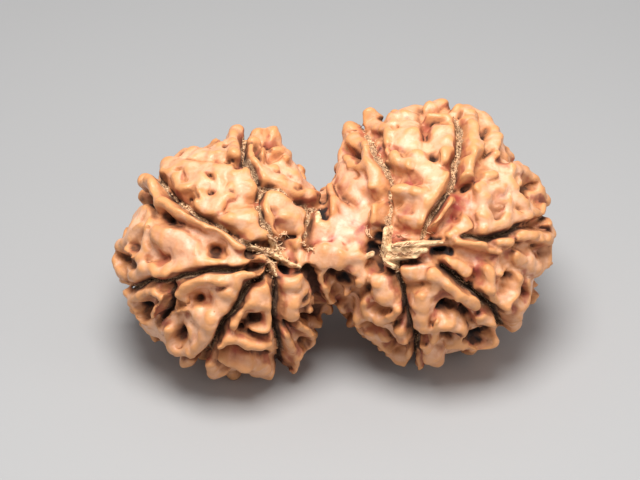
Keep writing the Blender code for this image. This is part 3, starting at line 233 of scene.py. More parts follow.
rightRidges = (
    # Beside the junction, above the bridge.
    (0.85, 0.8, 1.4, 9.3, 1.5, 8.7, 1.9, 8.1),
    (0.65, 0.75, 2.6, 8.3, 2.9, 7.4, 3.2, 6.4, 3.35, 5.5, 3.1, 4.6),
    (0.4, 0.55, 1, 7, 1.5, 6.5, 2.2, 6.2, 2.7, 6.1), (0.45, 0.1, 0.8, 6.3, 1.1, 5.9, 1.5, 5.6),
    (0.9, 0.1, 0.8, 4.4, 1.4, 3.9, 1.9, 3.4), (0.5, 0.55, 3.5, 2.8, 3.5, 1.7),
    (0.4, 0.3, 0.9, 8, 0.9, 7.5),
    # The top, between the first and second grooves.
    (0.68, 1, 2.75, 10.75, 2.65, 9.9), (0.5, 0.55, 3.3, 9.9, 4, 9.5, 4.5, 9, 4.6, 8.3),
    (0.5, 0.55, 4.8, 10.2, 5, 9.8), (1.3, 0.35, 6.2, 9.9, 6.6, 8.9, 6.4, 8),
    (0.7, 0.95, 8.1, 11.2, 8.7, 11.35), (0.6, 0.4, 6.7, 10.8, 7.3, 10.9),
    (0.4, 0.45, 8.1, 10.5, 9, 10.5, 9.8, 10.3), (0.6, 0.35, 8.7, 9.4, 9.4, 9.3),
    (0.7, 0.5, 9.4, 8.2, 9.6, 7.4, 9.4, 6.8), (0.65, 0.7, 5.1, 7, 5.4, 6.5, 6.3, 6.4),
    (0.9, 0.3, 7, 6.8, 7.8, 5.8, 8.3, 4.9), (0.75, 0.65, 5.5, 4.2, 6.2, 3.9, 7.2, 3.9),
    (0.9, 0.25, 6.6, 1.8, 7.2, 2.6), (0.45, 0.5, 9.4, 5.7, 9.1, 4.9, 8.5, 3.8, 7.9, 2.6, 7.5, 1.6),
    (0.4, 0.3, 4.6, 7.5, 4.5, 6.9),
    # The right shoulder, between the second and third grooves.
    (0.55, 0.6, 11.6, 10.5, 11.5, 9.6, 11.6, 8.8, 12, 8.1),
    (0.5, 0.65, 11.9, 7.6, 11.6, 6.9, 11.3, 6.1, 11.2, 5.5),
    (0.7, 0.25, 12.1, 10.6, 12.7, 10, 13.1, 9.2, 13.5, 8.4, 13.6, 7.4),
    (0.45, 0.55, 10.4, 10.9, 11.4, 10.9, 12.3, 10.65), (0.35, 0.4, 12.5, 7.7, 12.5, 8.2),
    (0.4, 0.4, 12.8, 5.6, 13.3, 5.7), (0.75, 0.4, 12.4, 4.6, 12.7, 3.5, 12.7, 2.3, 12.6, 1.3),
    (0.5, 0.45, 12.6, 1.1, 14, 1.45, 15.5, 1.9, 16.8, 2.2, 17.6, 2.6),
    (0.55, 0.4, 15, 6, 15.9, 5.9, 16.8, 5.2, 17.2, 4.3, 17.6, 3.3),
    (0.8, 0.4, 15.7, 3.1, 16.3, 2.7), (0.7, 0.25, 14.6, 5, 15, 4.2),
    (0.25, 0.5, 8.2, 1.3, 9, 2.1, 9.7, 2.9, 10.1, 3.4), (0.4, 0.4, 11.9, 4.6, 12.2, 4.3),
    (0.5, 0.3, 11.2, 1.5, 10.4, 0.7, 9.6, 0.3),
    # The right end, between the third and fourth grooves.
    (0.38, 0.45, 10.4, -0.3, 11.5, -0.4, 12.7, -0.4), (0.5, 0.65, 14, 0, 14.7, -0.2),
    (0.42, 0.4, 13.2, -0.8, 13.9, -1), (0.42, 0.45, 15.5, 0.35, 16.3, 0.5, 17.1, 0.6),
    (0.45, 0.7, 18, 1.4, 18.4, 0.6, 17.9, 0, 17.3, 0),
    (0.65, 0.55, 15.4, -1.3, 16.1, -1.9, 16.9, -2.3),
    (0.38, 0.65, 18.2, -0.5, 18.1, -1.4, 17.9, -2.1), (0.22, 0.4, 17.9, -1.8, 18.4, -2.05),
    (0.45, 0.5, 9.6, -1.9, 10.6, -2.15, 11.3, -2.7), (0.6, 0.95, 13.2, -2.5, 13.35, -3.3, 13.1, -4),
    (0.42, 0.7, 15.8, -3.1, 15.5, -4.2, 14.9, -5.1, 14.5, -5.6),
    (0.4, 0.5, 16.4, -3.4, 16.4, -4.6, 16.2, -5.5, 15.6, -5.8),
    (0.65, 0.75, 15.2, -6.4, 15.4, -7.1), (0.4, 0.4, 13.4, -4.9, 14.1, -5.5, 14.8, -6.2),
    # Lower right, between the fourth and fifth grooves.
    (0.8, 0.35, 6.2, -2.5, 7.4, -2.7, 8.1, -3),
    (0.6, 0.65, 8.3, -3, 9.3, -3.7, 10.4, -4.3, 11.3, -5, 11.8, -5.6),
    (0.7, 0.8, 7.3, -4.6, 7.4, -5.4, 7.5, -6.4, 7.6, -7.3), (1, 0.8, 9.7, -6.9, 10.4, -7.3),
    (0.65, 0.9, 12.3, -6.8, 12.9, -7.1), (0.42, 0.7, 12.9, -8, 13.45, -8.3, 13, -8.75, 11.9, -8.8),
    (0.32, 0.7, 8.7, -7, 8.6, -7.8, 8.3, -8.6), (0.45, 0.4, 9.6, -8.9, 10.9, -8.7, 12.2, -8.7),
    (0.65, 0.8, 8, -9.9, 8.7, -10.3), (0.5, 0.7, 7.3, -10.5, 7.1, -10.6),
    (0.35, 0.4, 7.2, -8.8, 7.6, -9.3), (0.45, 0.4, 8, -3.9, 8.4, -4.4),
    # Between the fifth groove and the junction.
    (0.9, 0.4, 3.9, -3.1, 4.4, -3.9, 4.6, -4.7),
    (0.45, 0.5, 2.5, -4.9, 2.4, -5.8, 2.8, -6.5, 3.8, -6.8, 4.8, -6.4, 5.5, -5.8),
    (0.6, 0.65, 5.4, -7.6, 5.6, -8.4), (0.42, 0.45, 3.3, -8.2, 4, -8.9, 4.6, -9.3),
    (0.42, 0.5, 4.5, -9.8, 5.3, -10.1, 6, -10.3), (0.4, 0.4, 1.9, -6.5, 2.1, -7),
    (0.38, 0.4, 2.9, -7.7, 3.1, -8.1), (0.38, 0.4, 3.6, -9, 3.9, -9.5),
    (0.35, 0.5, 5.9, -9.3, 6, -9.7),
)

# A plate is a broad low swell between the ridges, given as a ridge is.
plates = (
    (1.2, 0.05, -5.4, 7.2, -4.8, 6.2, -4.1, 5.2), (1.4, 0.55, -5, 3, -4.5, 2.2, -4, 1.7),
    (1.5, 0.45, -12.9, 6.1, -11.2, 6.1, -9.8, 6.2),
    (1.2, 0.55, -13.6, 5.6, -12.2, 5.3, -10.4, 5.3, -9, 5.4),
    (1.2, 0.55, -11.5, 4.3, -9.8, 4.4, -8.2, 4.7), (1, 0.25, -9.4, 2.2, -8, 2.3, -7, 1.9),
    (1.5, 0.35, -16.3, 0, -16.4, -1.6), (1.3, 0.35, -13.6, -0.2, -12.4, -1, -11, -1.5),
    (0.8, 0.35, -9, -0.9, -7.9, -1.2),
    (0.6, -0.15, -15.5, -3.2, -12.6, -2.85, -10, -2.5, -8, -2.25), (1, 0.3, -9.8, -4.4, -9.4, -5.4),
    (1.2, 0.2, -11, -6.2, -10.9, -7.2, -12.2, -7.2), (1.1, 0.05, -15.1, -6.9, -14.3, -7.6),
    (1.9, 0.35, -0.9, 0.9, 0.6, 1.6, 1.3, 2.8, 1, 4), (1.3, 0.3, 1.2, 6.6, 1.6, 5.2, 2.2, 4.6),
    (0.8, 0.3, 2.5, 9.3, 3, 8.6, 3.5, 7.8), (1.8, 0.35, 6.1, 9.4, 6.2, 8.6, 6.4, 7.8),
    (1.3, 0.3, 9.4, 9.4, 9, 8.6, 8.9, 7.9), (1.4, 0.25, 7.2, 6.2, 8, 5.4),
    (1.2, 0.3, 6.4, 2.6, 7, 1.8), (1.6, 0.2, 12.2, 9.5, 12.6, 8.6),
    (1.8, 0.35, 12.6, 4.6, 13.6, 2.9, 15, 3.4), (1.3, 0.3, 15.9, 5, 16.6, 3.8),
    (1.1, 0.3, 12.6, -1.2, 13.5, -2.6), (1.2, 0.3, 15.6, -1.6, 16.4, -2.3),
    (0.9, 0.3, 14.3, -4.6, 15, -5.4), (1.2, 0.35, 7.4, -2.9, 8.6, -3.2),
    (1, 0.4, 7.4, -5.2, 7.6, -6.8), (1.3, 0.3, 10.2, -7.1, 10.6, -7.4),
    (1.3, 0.35, 4, -3.6, 4.4, -4.6), (1.3, 0.35, 3.2, -7, 4.6, -7.4),
)

# A pit or a crease is given as its half-width and depth, then u, v of each point; a pit has one.
leftPits = (
    (0.3, 0.8, -5.4, 6.5), (0.22, 0.8, -5.8, 6.7, -5.3, 6.95, -4.8, 7.1),
    (0.2, 1.2, -5.8, 8.1, -5.3, 8, -4.8, 8.1), (0.15, 1, -6.6, 8.1, -6.65, 7.5, -6.6, 7.1),
    (0.14, 0.9, -6, 7.9, -5.85, 7.3), (0.14, 0.8, -5.95, 9.5, -5.9, 8.8, -5.9, 8.4),
    (0.16, 0.7, -3.4, 4.5, -3, 4.45, -2.7, 4.6), (0.12, 0.3, -4.3, 5.3, -4, 5.15),
    (0.36, 0.9, -5, 0.4, -4.4, 0.6, -3.9, 0.5), (0.28, 1.4, -4.4, -0.1, -4.3, -0.5),
    (0.22, 0.8, -9.15, 6.75), (0.22, 0.7, -10.2, 6.75, -9.8, 6.6), (0.14, 0.6, -9.3, 7.9),
    (0.18, 0.9, -8.6, 6.6, -8.35, 6.3, -8.1, 6.1), (0.15, 0.7, -11, 5.8, -10.6, 5.5, -10.3, 5.2),
    (0.14, 0.6, -12.95, 5.9, -12.85, 5.4, -12.8, 5.05),
    (0.14, 0.5, -12.1, 4.7, -11.9, 4.1, -11.6, 3.6),
    (0.38, 0.6, -11.4, 4.4, -10.8, 4.1, -10.2, 3.95), (0.12, 0.5, -9, 4.25, -8.6, 4.15),
    (0.2, 0.9, -14.4, 4.9), (0.25, 0.7, -12.9, 4.05, -12.4, 3.9, -12, 3.6),
    (0.38, 0.7, -9.3, 3, -8.3, 2.9, -7.3, 3.1, -6.9, 3.4), (0.12, 0.3, -13.8, 6.05, -12.9, 6.1),
    (0.15, 0.4, -12.7, 6.95, -11.9, 6.9, -11, 6.75), (0.25, 0.8, -9.4, 0.85, -8.6, 0.75, -7.9, 0.4),
    (0.5, 1.3, -14.8, 2.05, -14.3, 1.8, -13.8, 1.6), (0.38, 1.3, -17.3, -0.6, -16.9, -0.8),
    (0.38, 1.1, -18.3, -1.3, -17.8, -1.7, -17.2, -2.1),
    (0.4, 0.9, -15.5, -0.4, -15.1, -1.1, -14.6, -1.8), (0.66, 1.3, -10.15, -1),
    (0.46, 1.2, -7.2, -1.15), (0.12, 0.3, -15.9, 1.05), (0.5, 0.99, -17, 2.9, -17.4, 2, -17.9, 1.2),
    (0.25, 0.99, -10.8, 8.5, -10.1, 8.6), (0.8, 0.35, -12, 0.5, -11, 0.2, -10.3, -0.3),
    (0.4, 1.5, -16.7, 3.7, -16, 3.6, -15.7, 3.4), (0.2, 0.8, -15.9, 4.2, -16.1, 3.9),
    (0.48, 2.8, -16.3, -5.5, -15.9, -5.85, -15.8, -6.15), (0.25, 1.2, -16.2, -6.2, -16.1, -6.7),
    (0.25, 0.7, -14.9, -4.3, -14.3, -4), (0.7, 0.6, -12.3, -4.8, -11.4, -4.8, -10.6, -5.2),
    (0.24, 1.1, -11.5, -4.9), (0.6, 0.6, -13.4, -6.8, -12.9, -7.2),
    (0.42, 1.5, -12.9, -7.8, -13.1, -8.4), (0.25, 0.9, -13.3, -5.4, -12.9, -5.6),
    (0.2, 0.5, -13.4, -6.4, -12.4, -6.3), (0.36, 1.8, -6.4, -6.8, -7, -6.9, -7.7, -7.15),
    (0.2, 1.2, -8.2, -7.5, -7.5, -7.85, -6.6, -8.1, -5.7, -8.15),
    (0.28, 1.5, -9.7, -9.3, -8.7, -9.25, -7.6, -9.6, -6.5, -9.7, -5.7, -9.85),
    (0.4, 0.8, -9.2, -10.4, -8.5, -10.6), (0.3, 1.4, -10.5, -8.9, -10.9, -9.8, -11.3, -10.6),
    (0.34, 1.6, -2.9, -8.6, -2.7, -8.65), (0.24, 1.4, -4.6, -7.3, -3.9, -7.2, -3.2, -7.1),
    (0.3, 1, -2.5, -5.2, -2.2, -5), (0.35, 1.2, -2.6, -6.6, -2, -6.9), (0.44, 3.2, -4, -2.4),
    (0.16, 0.8, -4.2, -2.9, -3.6, -2.85, -3, -2.6), (0.1, 0.6, -6.3, -0.9, -5.9, -0.85),
    (0.1, 0.6, -5.4, -0.75, -4.9, -0.8), (0.14, 0.9, -5.3, -1.65, -4.6, -1.7, -3.9, -1.85),
    (0.16, 0.9, -5.6, -1.35), (0.26, 1, -6.5, -0.25, -5.9, -0.3),
    (0.32, 1.3, -7.5, -2.5, -6.7, -2.35), (0.24, 1.2, -5.8, -2.6, -5.3, -2.6),
    (0.16, 1, -6.8, -3.5, -6.3, -3.3),
)
bridgePits = (
    (0.5, 3, -1.4, 5.9, -1.3, 5.2, -1.2, 4.5), (0.34, 2, -1.1, 3.9, -1.1, 3, -1, 2.4, -0.8, 2),
    (0.5, 1.2, -0.6, -3.2, 0.2, -3.35, 1.1, -3.3), (0.42, 2.2, 0.5, -3.5, 0.9, -3.55),
    (0.4, 1, 0, -4.2, 0.3, -4.6), (0.8, 1.8, -1.7, -6.3, -1.1, -6.2),
    (0.3, 1, 2.9, -4, 2.3, -4.6, 1.6, -4.7), (0.18, 0.8, 1.5, -5, 0.7, -5.1, 0.1, -4.9),
    (0.16, 0.6, 2.9, 3, 2.85, 2, 2.75, 1.1, 2.8, 0.4, 3, -0.3), (0.2, 0.7, 2.4, -0.9, 2.7, -0.7),
    (0.34, 3.2, 3.8, 0.35, 3.65, 0, 3.6, -0.8, 3.6, -1.6), (0.46, 3.2, 3.15, -0.6, 3.5, -0.75),
    (0.3, 0.8, 3.2, -2.2, 4.2, -2.3), (0.16, 1.2, 3.2, -2.6, 3.8, -2.65),
    (0.14, 1.2, 4.4, -2.3, 4.9, -2.7), (0.12, 0.9, 5.2, -0.4, 5.8, -0.25, 6.5, -0.15),
    (0.45, 0.7, 8.5, 0.6), (0.3, 2, 8.2, 0.1, 8.8, 0.05),
    (0.34, 2.8, 8.5, -0.85, 9.3, -0.8, 9.9, -0.95), (0.22, 1, 5.4, -1.9, 6.2, -1.8, 6.8, -1.65),
    (0.13, 0.8, 8.2, -1.4, 8.6, -1.8, 9.2, -2.4), (0.6, 0.99, -2.1, 6.6, -2, 5.6, -1.8, 4.8),
    (0.42, 0.99, -2.2, 6.4, -2, 5.7, -1.8, 5), (0.45, 0.99, -0.2, 6.5, -0.3, 5.6, -0.6, 4.9),
    (0.45, 0.99, -0.1, 6.8, -0.3, 5.9, -0.5, 5.1),
)
rightPits = (
    (0.18, 0.8, 1.3, 7.4, 1.7, 7.15, 2.1, 6.95), (0.18, 0.6, 0.8, 8.2, 1, 7.7),
    (0.12, 0.3, 1.6, 6, 1.95, 5.6, 1.6, 5.2), (0.1, 0.3, 3, 3.35, 3.7, 3.25, 4.3, 3.5),
    (0.25, 0.4, 2.2, 6.1, 2.6, 5.7), (0.45, 0.8, 2.4, 4.1, 3.1, 3.9, 3.8, 3.95),
    (0.18, 0.6, 7.8, 10.05, 8.8, 10.1, 9.8, 9.9), (0.28, 0.8, 7.7, 9.8, 7.6, 9.2, 8, 8.7),
    (0.44, 1.5, 8.2, 7.3, 8.4, 7), (0.22, 0.8, 10.1, 7.1, 9.8, 6.5, 9.4, 6),
    (0.22, 0.7, 4.7, 4.75, 5.5, 5.05, 6.1, 5.05), (0.12, 0.3, 6.2, 4.9, 6.9, 4.7, 7.4, 4.45),
    (0.12, 0.5, 5.3, 2.5, 6.1, 2.35, 6.7, 2.3), (0.25, 0.6, 5.2, 0.6, 5.8, 0.85, 6.3, 0.5),
    (0.5, 0.7, 5, 5.7, 5.9, 5.5), (0.2, 0.4, 8, 11, 8.5, 10.95), (0.15, 0.4, 5.2, 9.6),
    (0.15, 0.3, 4.2, 7.2, 4.5, 7), (0.45, 0.8, 5.2, 3.5, 5.9, 3.1, 6.7, 2.8),
    (0.45, 0.99, 14.3, 7.9, 15, 7, 15.9, 6.6), (0.35, 0.99, 14.7, 8, 15.1, 7.2),
    (0.4, 0.99, 17.6, -3.4, 17.5, -4.6), (0.3, 0.99, 17.6, -3.8, 17.5, -4.6),
    (0.4, 0.99, 10.2, -10, 11.5, -9.9), (0.35, 0.99, 1.2, -7.6, 2, -8.3),
    (0.24, 1, 12.85, 9.55, 12.6, 9.1, 12.4, 8.6), (0.26, 0.9, 11.45, 7.5),
    (0.12, 0.5, 12.4, 6.95, 12.9, 7.4, 13.5, 7.8), (0.35, 0.7, 12.2, 6.5, 11.95, 5.4),
    (0.32, 0.6, 13.55, 3.7, 14, 4.25), (0.55, 0.9, 9.8, 1.8, 10.6, 2.2),
    (0.34, 1.1, 16, 4.2, 16.5, 4.5), (0.16, 0.9, 16.5, 4.7, 16.9, 4.75),
    (0.14, 0.8, 16.05, 3.9, 16.3, 3.7), (0.07, 0.2, 13.7, 3.1, 14.6, 3.05),
    (0.12, 0.4, 17.2, 3.3, 17.5, 2.6), (0.35, 1.3, 10.1, 4.2, 10.9, 4.35, 11.4, 4.7),
    (0.25, 0.8, 10.5, 4, 10.9, 3.3, 10.8, 2.7), (0.6, 0.7, 11.1, 3.7, 11.8, 3.6),
    (0.26, 0.9, 15.8, 1.1, 16.5, 1.35, 17.2, 1.55, 17.9, 1.85), (0.3, 0.9, 16.8, -0.5, 17.4, -0.6),
    (0.25, 0.6, 16.8, -0.9, 17.2, -1.3), (0.5, 0.5, 10.8, -1.1, 12.2, -1.3, 13.6, -2),
    (0.3, 0.8, 12, -3, 11.8, -3.5), (0.25, 1, 14.3, -3.15, 15, -3.1),
    (0.4, 0.8, 14.5, -3.7, 14.3, -4.3), (0.33, 1.1, 16, -4.2, 16.2, -4.8),
    (0.2, 0.5, 15.1, -0.6, 15.3, -0.3), (0.4, 0.5, 14.2, -1.9, 14.6, -2.5),
    (0.52, 2.2, 9, -5.55, 9.6, -5.65), (0.36, 1.7, 9.7, -5.5, 10.5, -5.8, 11.2, -6.4, 11.5, -6.9),
    (0.85, 2.6, 11.6, -8.2, 12.2, -8.3), (0.3, 1.2, 12.6, -7.6, 13.6, -7.9),
    (0.62, 1.5, 9.4, -8.4, 10.2, -8.5), (0.2, 0.8, 8.5, -6.4, 8.15, -6.9, 8.05, -7.4),
    (0.28, 0.9, 7.5, -8.3, 7.3, -8.9), (0.24, 0.9, 6.1, -3.9, 7, -3.95, 7.9, -3.8),
    (0.35, 0.4, 6.8, -2.7, 7.6, -2.8), (0.45, 0.9, 3.6, -5.75, 4.5, -5.9),
    (0.16, 0.8, 5.9, -6, 5.5, -6.7, 5, -7.2),
    (0.2, 0.9, 2.3, -7.3, 3.3, -7.65, 4.1, -7.8, 4.7, -8.5, 5, -9.1),
    (0.4, 0.25, 3.6, -3.9, 4.4, -4.1), (0.2, 0.6, 5.2, -9.3, 6, -9.2),
)

# Dry papery strips and threads at the stem holes, given as ridges are.
paleStrips = (
    (0.36, 0.58, 4.5, -0.75, 5.4, -0.85, 6.3, -0.85),
    (0.25, 0.58, 6.2, -0.8, 7.1, -0.7, 7.8, -0.75),
    (0.09, 0.76, 4.8, -0.5, 5.8, -0.42, 6.6, -0.33, 7.5, -0.2, 8.3, -0.25, 9, -0.35),
    (0.28, 0.55, 4.4, -1.35, 5.4, -1.3, 6.3, -1.15, 6.9, -1),
    (0.12, 0.76, 4.15, -1.6, 5, -1.68, 5.9, -1.58, 6.8, -1.4),
    (0.2, 0.74, 4.4, 0.85, 4.2, 0.3, 4.05, -0.4, 4, -1.1, 4.25, -1.75, 4.9, -2.5),
    (0.22, 0.62, 2.2, -1.55, 2.7, -1.3, 3.1, -1.1), (0.22, 0.4, -1.55, 1.6, -1.6, 2.4),
    (0.09, 0.45, -7.1, -0.65, -6.6, -0.9, -6.1, -1.2),
    (0.09, 0.35, -5.8, 0.6, -5.4, 0.2, -5, -0.15), (0.08, 0.4, -5, -0.2, -4.8, -0.6, -4.5, -1),
    (0.24, 0.15, -5.7, -0.95, -5.1, -1.15, -4.7, -1.3),
    (0.09, 0.45, -4.9, -1.25, -4.4, -1.5, -3.9, -1.6),
    (0.18, 0.1, -5.9, -1.6, -5.4, -2, -5.1, -2.2), (0.09, 0.4, -5.2, -2.2, -4.9, -2.6, -4.7, -3),
    (0.13, 0.45, -3.5, -1.9, -3.2, -2, -2.8, -2.05),
)

# How much dry pulp each groove and seam still holds, in the order of their tables.
pulpLeft = {
    "leftGrooves": (0.9, 1.0, 0.55, 0.5, 0.35),
    "rightGrooves": (1.2, 1.2, 0.5, 0.4, 0.4),
    "seams": (0.7, 0.3, 1.2, 0.1, 0.0),
    "pits": 0.27,
}

# Pinkish red stains: u, v and radius.
redStains = (
    (-0.1, -0.4, 0.7), (-1.5, -0.5, 0.6), (2.75, 1, 0.7), (2.4, -1, 0.6), (-5.1, 7, 0.6),
    (-5.2, 8, 0.5), (-4.4, 3.7, 0.5), (-3.9, 3.4, 0.5), (-3.3, 3.1, 0.5), (-2.4, 2.9, 0.5),
    (-0.9, 1.8, 0.6), (1.8, 7.1, 0.5), (6.5, 4.9, 0.7), (7.3, 4.6, 0.6), (6.4, 2.2, 0.7),
    (7.6, 9.2, 0.7), (10.2, 1.9, 0.8), (10.9, 3, 0.9), (13.7, 3.8, 0.7), (11.9, -3, 0.6),
    (5.9, -6.2, 0.8), (5.8, 0.8, 0.7), (3.7, -2.2, 0.5), (9.9, 6, 0.6), (-3.9, -9.6, 0.7),
    (-11.6, -2.7, 0.6), (8, -6.2, 0.7), (12, -1.6, 0.7), (15.6, -4.2, 0.6), (-8.2, -9.4, 0.7),
)

# Broad faint flushes of the same red; those over the waist between the beads are painted shade.
flushesAndWaistShade = (
    (-0.3, 0.6, 1.8), (0.7, 2.2, 1.8), (1.3, 4, 1.6), (-12.6, -0.2, 1.8), (-13.8, 0.4, 1.4),
)
flushAndShadeStrength = 0.34

# The hidden side follows a rule: grooves run on from the edge of the face to a pole behind each
# bead, and short knuckles, each with a crease at its foot, fill the sectors between them.
hiddenSide = {
    "edgeAngles": {"leftBead": (82, 132, 196, 226, 255, 293),
                   "rightBead": (124, 79, 44, 8, -54, 260)},
    "poles": {"leftBead": (-5.6, -0.9), "rightBead": (5.4, 1.0)},
    "seed": 21,
    "swings": ((0.6, 7), (0.5, 13)),  # how far a groove swings aside, and how fast
    "groovePoints": 24,
    "grooveWidth": 0.3,
    "grooveDepth": 1.2,
    "pulp": 0.8,
    "knuckles": 46,
    "tries": 4000,
    # Length, radius and height of a knuckle, width and depth of its crease.
    "knuckleSizes": ((0.9, 2.6), (0.45, 0.75), (0.4, 0.7), (0.25, 0.45), (0.7, 1.3)),
    "knuckleRun": (-1.0, -0.4, 0.3, 1.0),
    "knuckleBow": 0.35,
    "knuckleSpacing": 2.1,
    "grooveClearance": 1.15,
    "beadClearance": 0.8,
    "faceClearance": 0.6,
    "foremostWay": -0.15,
    "creaseAside": 0.6,
    "creaseSpread": 1.3,
    "creasePress": 0.7,
}


def clamp(values):
    return np.clip(values, 0, 1)


def smoothMin(a, b, blend):
    share = clamp(0.5 + 0.5 * (b - a) / blend)
    return b + (a - b) * share - blend * share * (1 - share)


def smoothMax(a, b, blend):
    return -smoothMin(-a, -b, blend)


def ellipsoid(points, centre, radii):
    radii = np.array(radii, points.dtype)
    scaled = (points - np.array(centre, points.dtype)) / radii
    reach = np.linalg.norm(scaled, axis=-1)
    return reach * (reach - 1) / np.maximum(np.linalg.norm(scaled / radii, axis=-1), 1e-6)


def plateau(points):  # roughly the height above the level that ridges and grooves start from
    names = ("leftBead", "rightBead", "waist")
    left, right, waist = (ellipsoid(points, *stoneForm[name]) for name in names)
    blend = stoneForm["beadBlend"]
    return smoothMin(smoothMin(left, right, blend), waist, blend)


def waves(points, seed, count, shortest, longest, size):  # plane waves in seeded directions
    draw = np.random.default_rng(seed)
    total = np.zeros(points.shape[:-1], points.dtype)
    for _ in range(count):
        direction = draw.normal(size=3)
        direction *= 2 * math.pi / np.linalg.norm(direction) / draw.uniform(shortest, longest)
        total += np.sin(points @ direction.astype(points.dtype) + draw.uniform(0, 2 * math.pi))
    return total * (size / math.sqrt(count))


def wobble(points):  # the small wander that keeps ridges and grooves from running too true
    return np.stack([waves(points, seed, *reliefs["wander"]) for seed in (1, 2, 3)], axis=-1)


def smoothLine(points, step=0.4):  # a Catmull-Rom curve through the points
    given = np.array(points, float).reshape(-1, 2)
    if len(given) == 1:
        return given
    ahead = np.vstack([2 * given[0] - given[1], given, 2 * given[-1] - given[-2]])
    line = []
    for a, b, c, d in zip(ahead, ahead[1:], ahead[2:], ahead[3:]):
        count = max(1, round(np.linalg.norm(c - b) / step))
        for t in np.arange(count)[:, None] / count:
            line.append(0.5 * (2 * b + (c - a) * t + (2 * a - 5 * b + 4 * c - d) * t ** 2
                               + (3 * b - a - 3 * c + d) * t ** 3))
    return np.vstack(line + [given[-1]])


def sightLines(flatPoints, step):  # places on the eye's line through each (u, v), nearest first
    depths = np.arange(stoneForm["lastCorner"][2], stoneForm["sightEnd"], -step)
    nearer = 1 - depths / stoneForm["eyeFar"]
    u = stoneForm["eyeU"] + (flatPoints[:, :1] - stoneForm["eyeU"]) * nearer
    v = flatPoints[:, 1:] * nearer
    return np.stack([u, v, np.broadcast_to(depths, u.shape)], axis=-1)


def firstInside(sight, heights):  # the first place of each line that is below 0, or else its lowest
    crossed = heights < 0
    at = np.where(crossed.any(axis=1), crossed.argmax(axis=1), heights.argmin(axis=1))
    return sight[np.arange(len(at)), at]


def lift(flatPoints, level=0.0):  # where the eye, looking through each (u, v), meets this level
    sight = sightLines(flatPoints, step=0.1)
    line = firstInside(sight, plateau(sight) - level)
    for _ in range(3):
        line[1:-1, 2] = (line[:-2, 2] + 2 * line[1:-1, 2] + line[2:, 2]) / 4
    return line


def seen(stone, flatPoints):  # where the eye, looking through each (u, v), meets the carved surface
    sight = sightLines(flatPoints, step=0.06)
    field = reading(stone.field, stone, sight.reshape(-1, 3))
    return firstInside(sight, field.reshape(sight.shape[:2]))


def snap(points, level=0.0):  # points moved to this level along its slope
    step, leastSlope = 0.01, 0.2
    for _ in range(4):
        here = plateau(points)
        slopes = [(plateau(points + step * axis) - here) / step for axis in np.eye(3)]
        slope = np.stack(slopes, axis=-1)
        slope /= np.maximum(np.sum(slope ** 2, axis=-1, keepdims=True), leastSlope)
        points = points - (here - level)[..., None] * slope
    return points


def fromEnd(along, length):  # how far each place is from the nearer end of its path
    return np.minimum(along, length - along) if length else np.ones(along.shape)


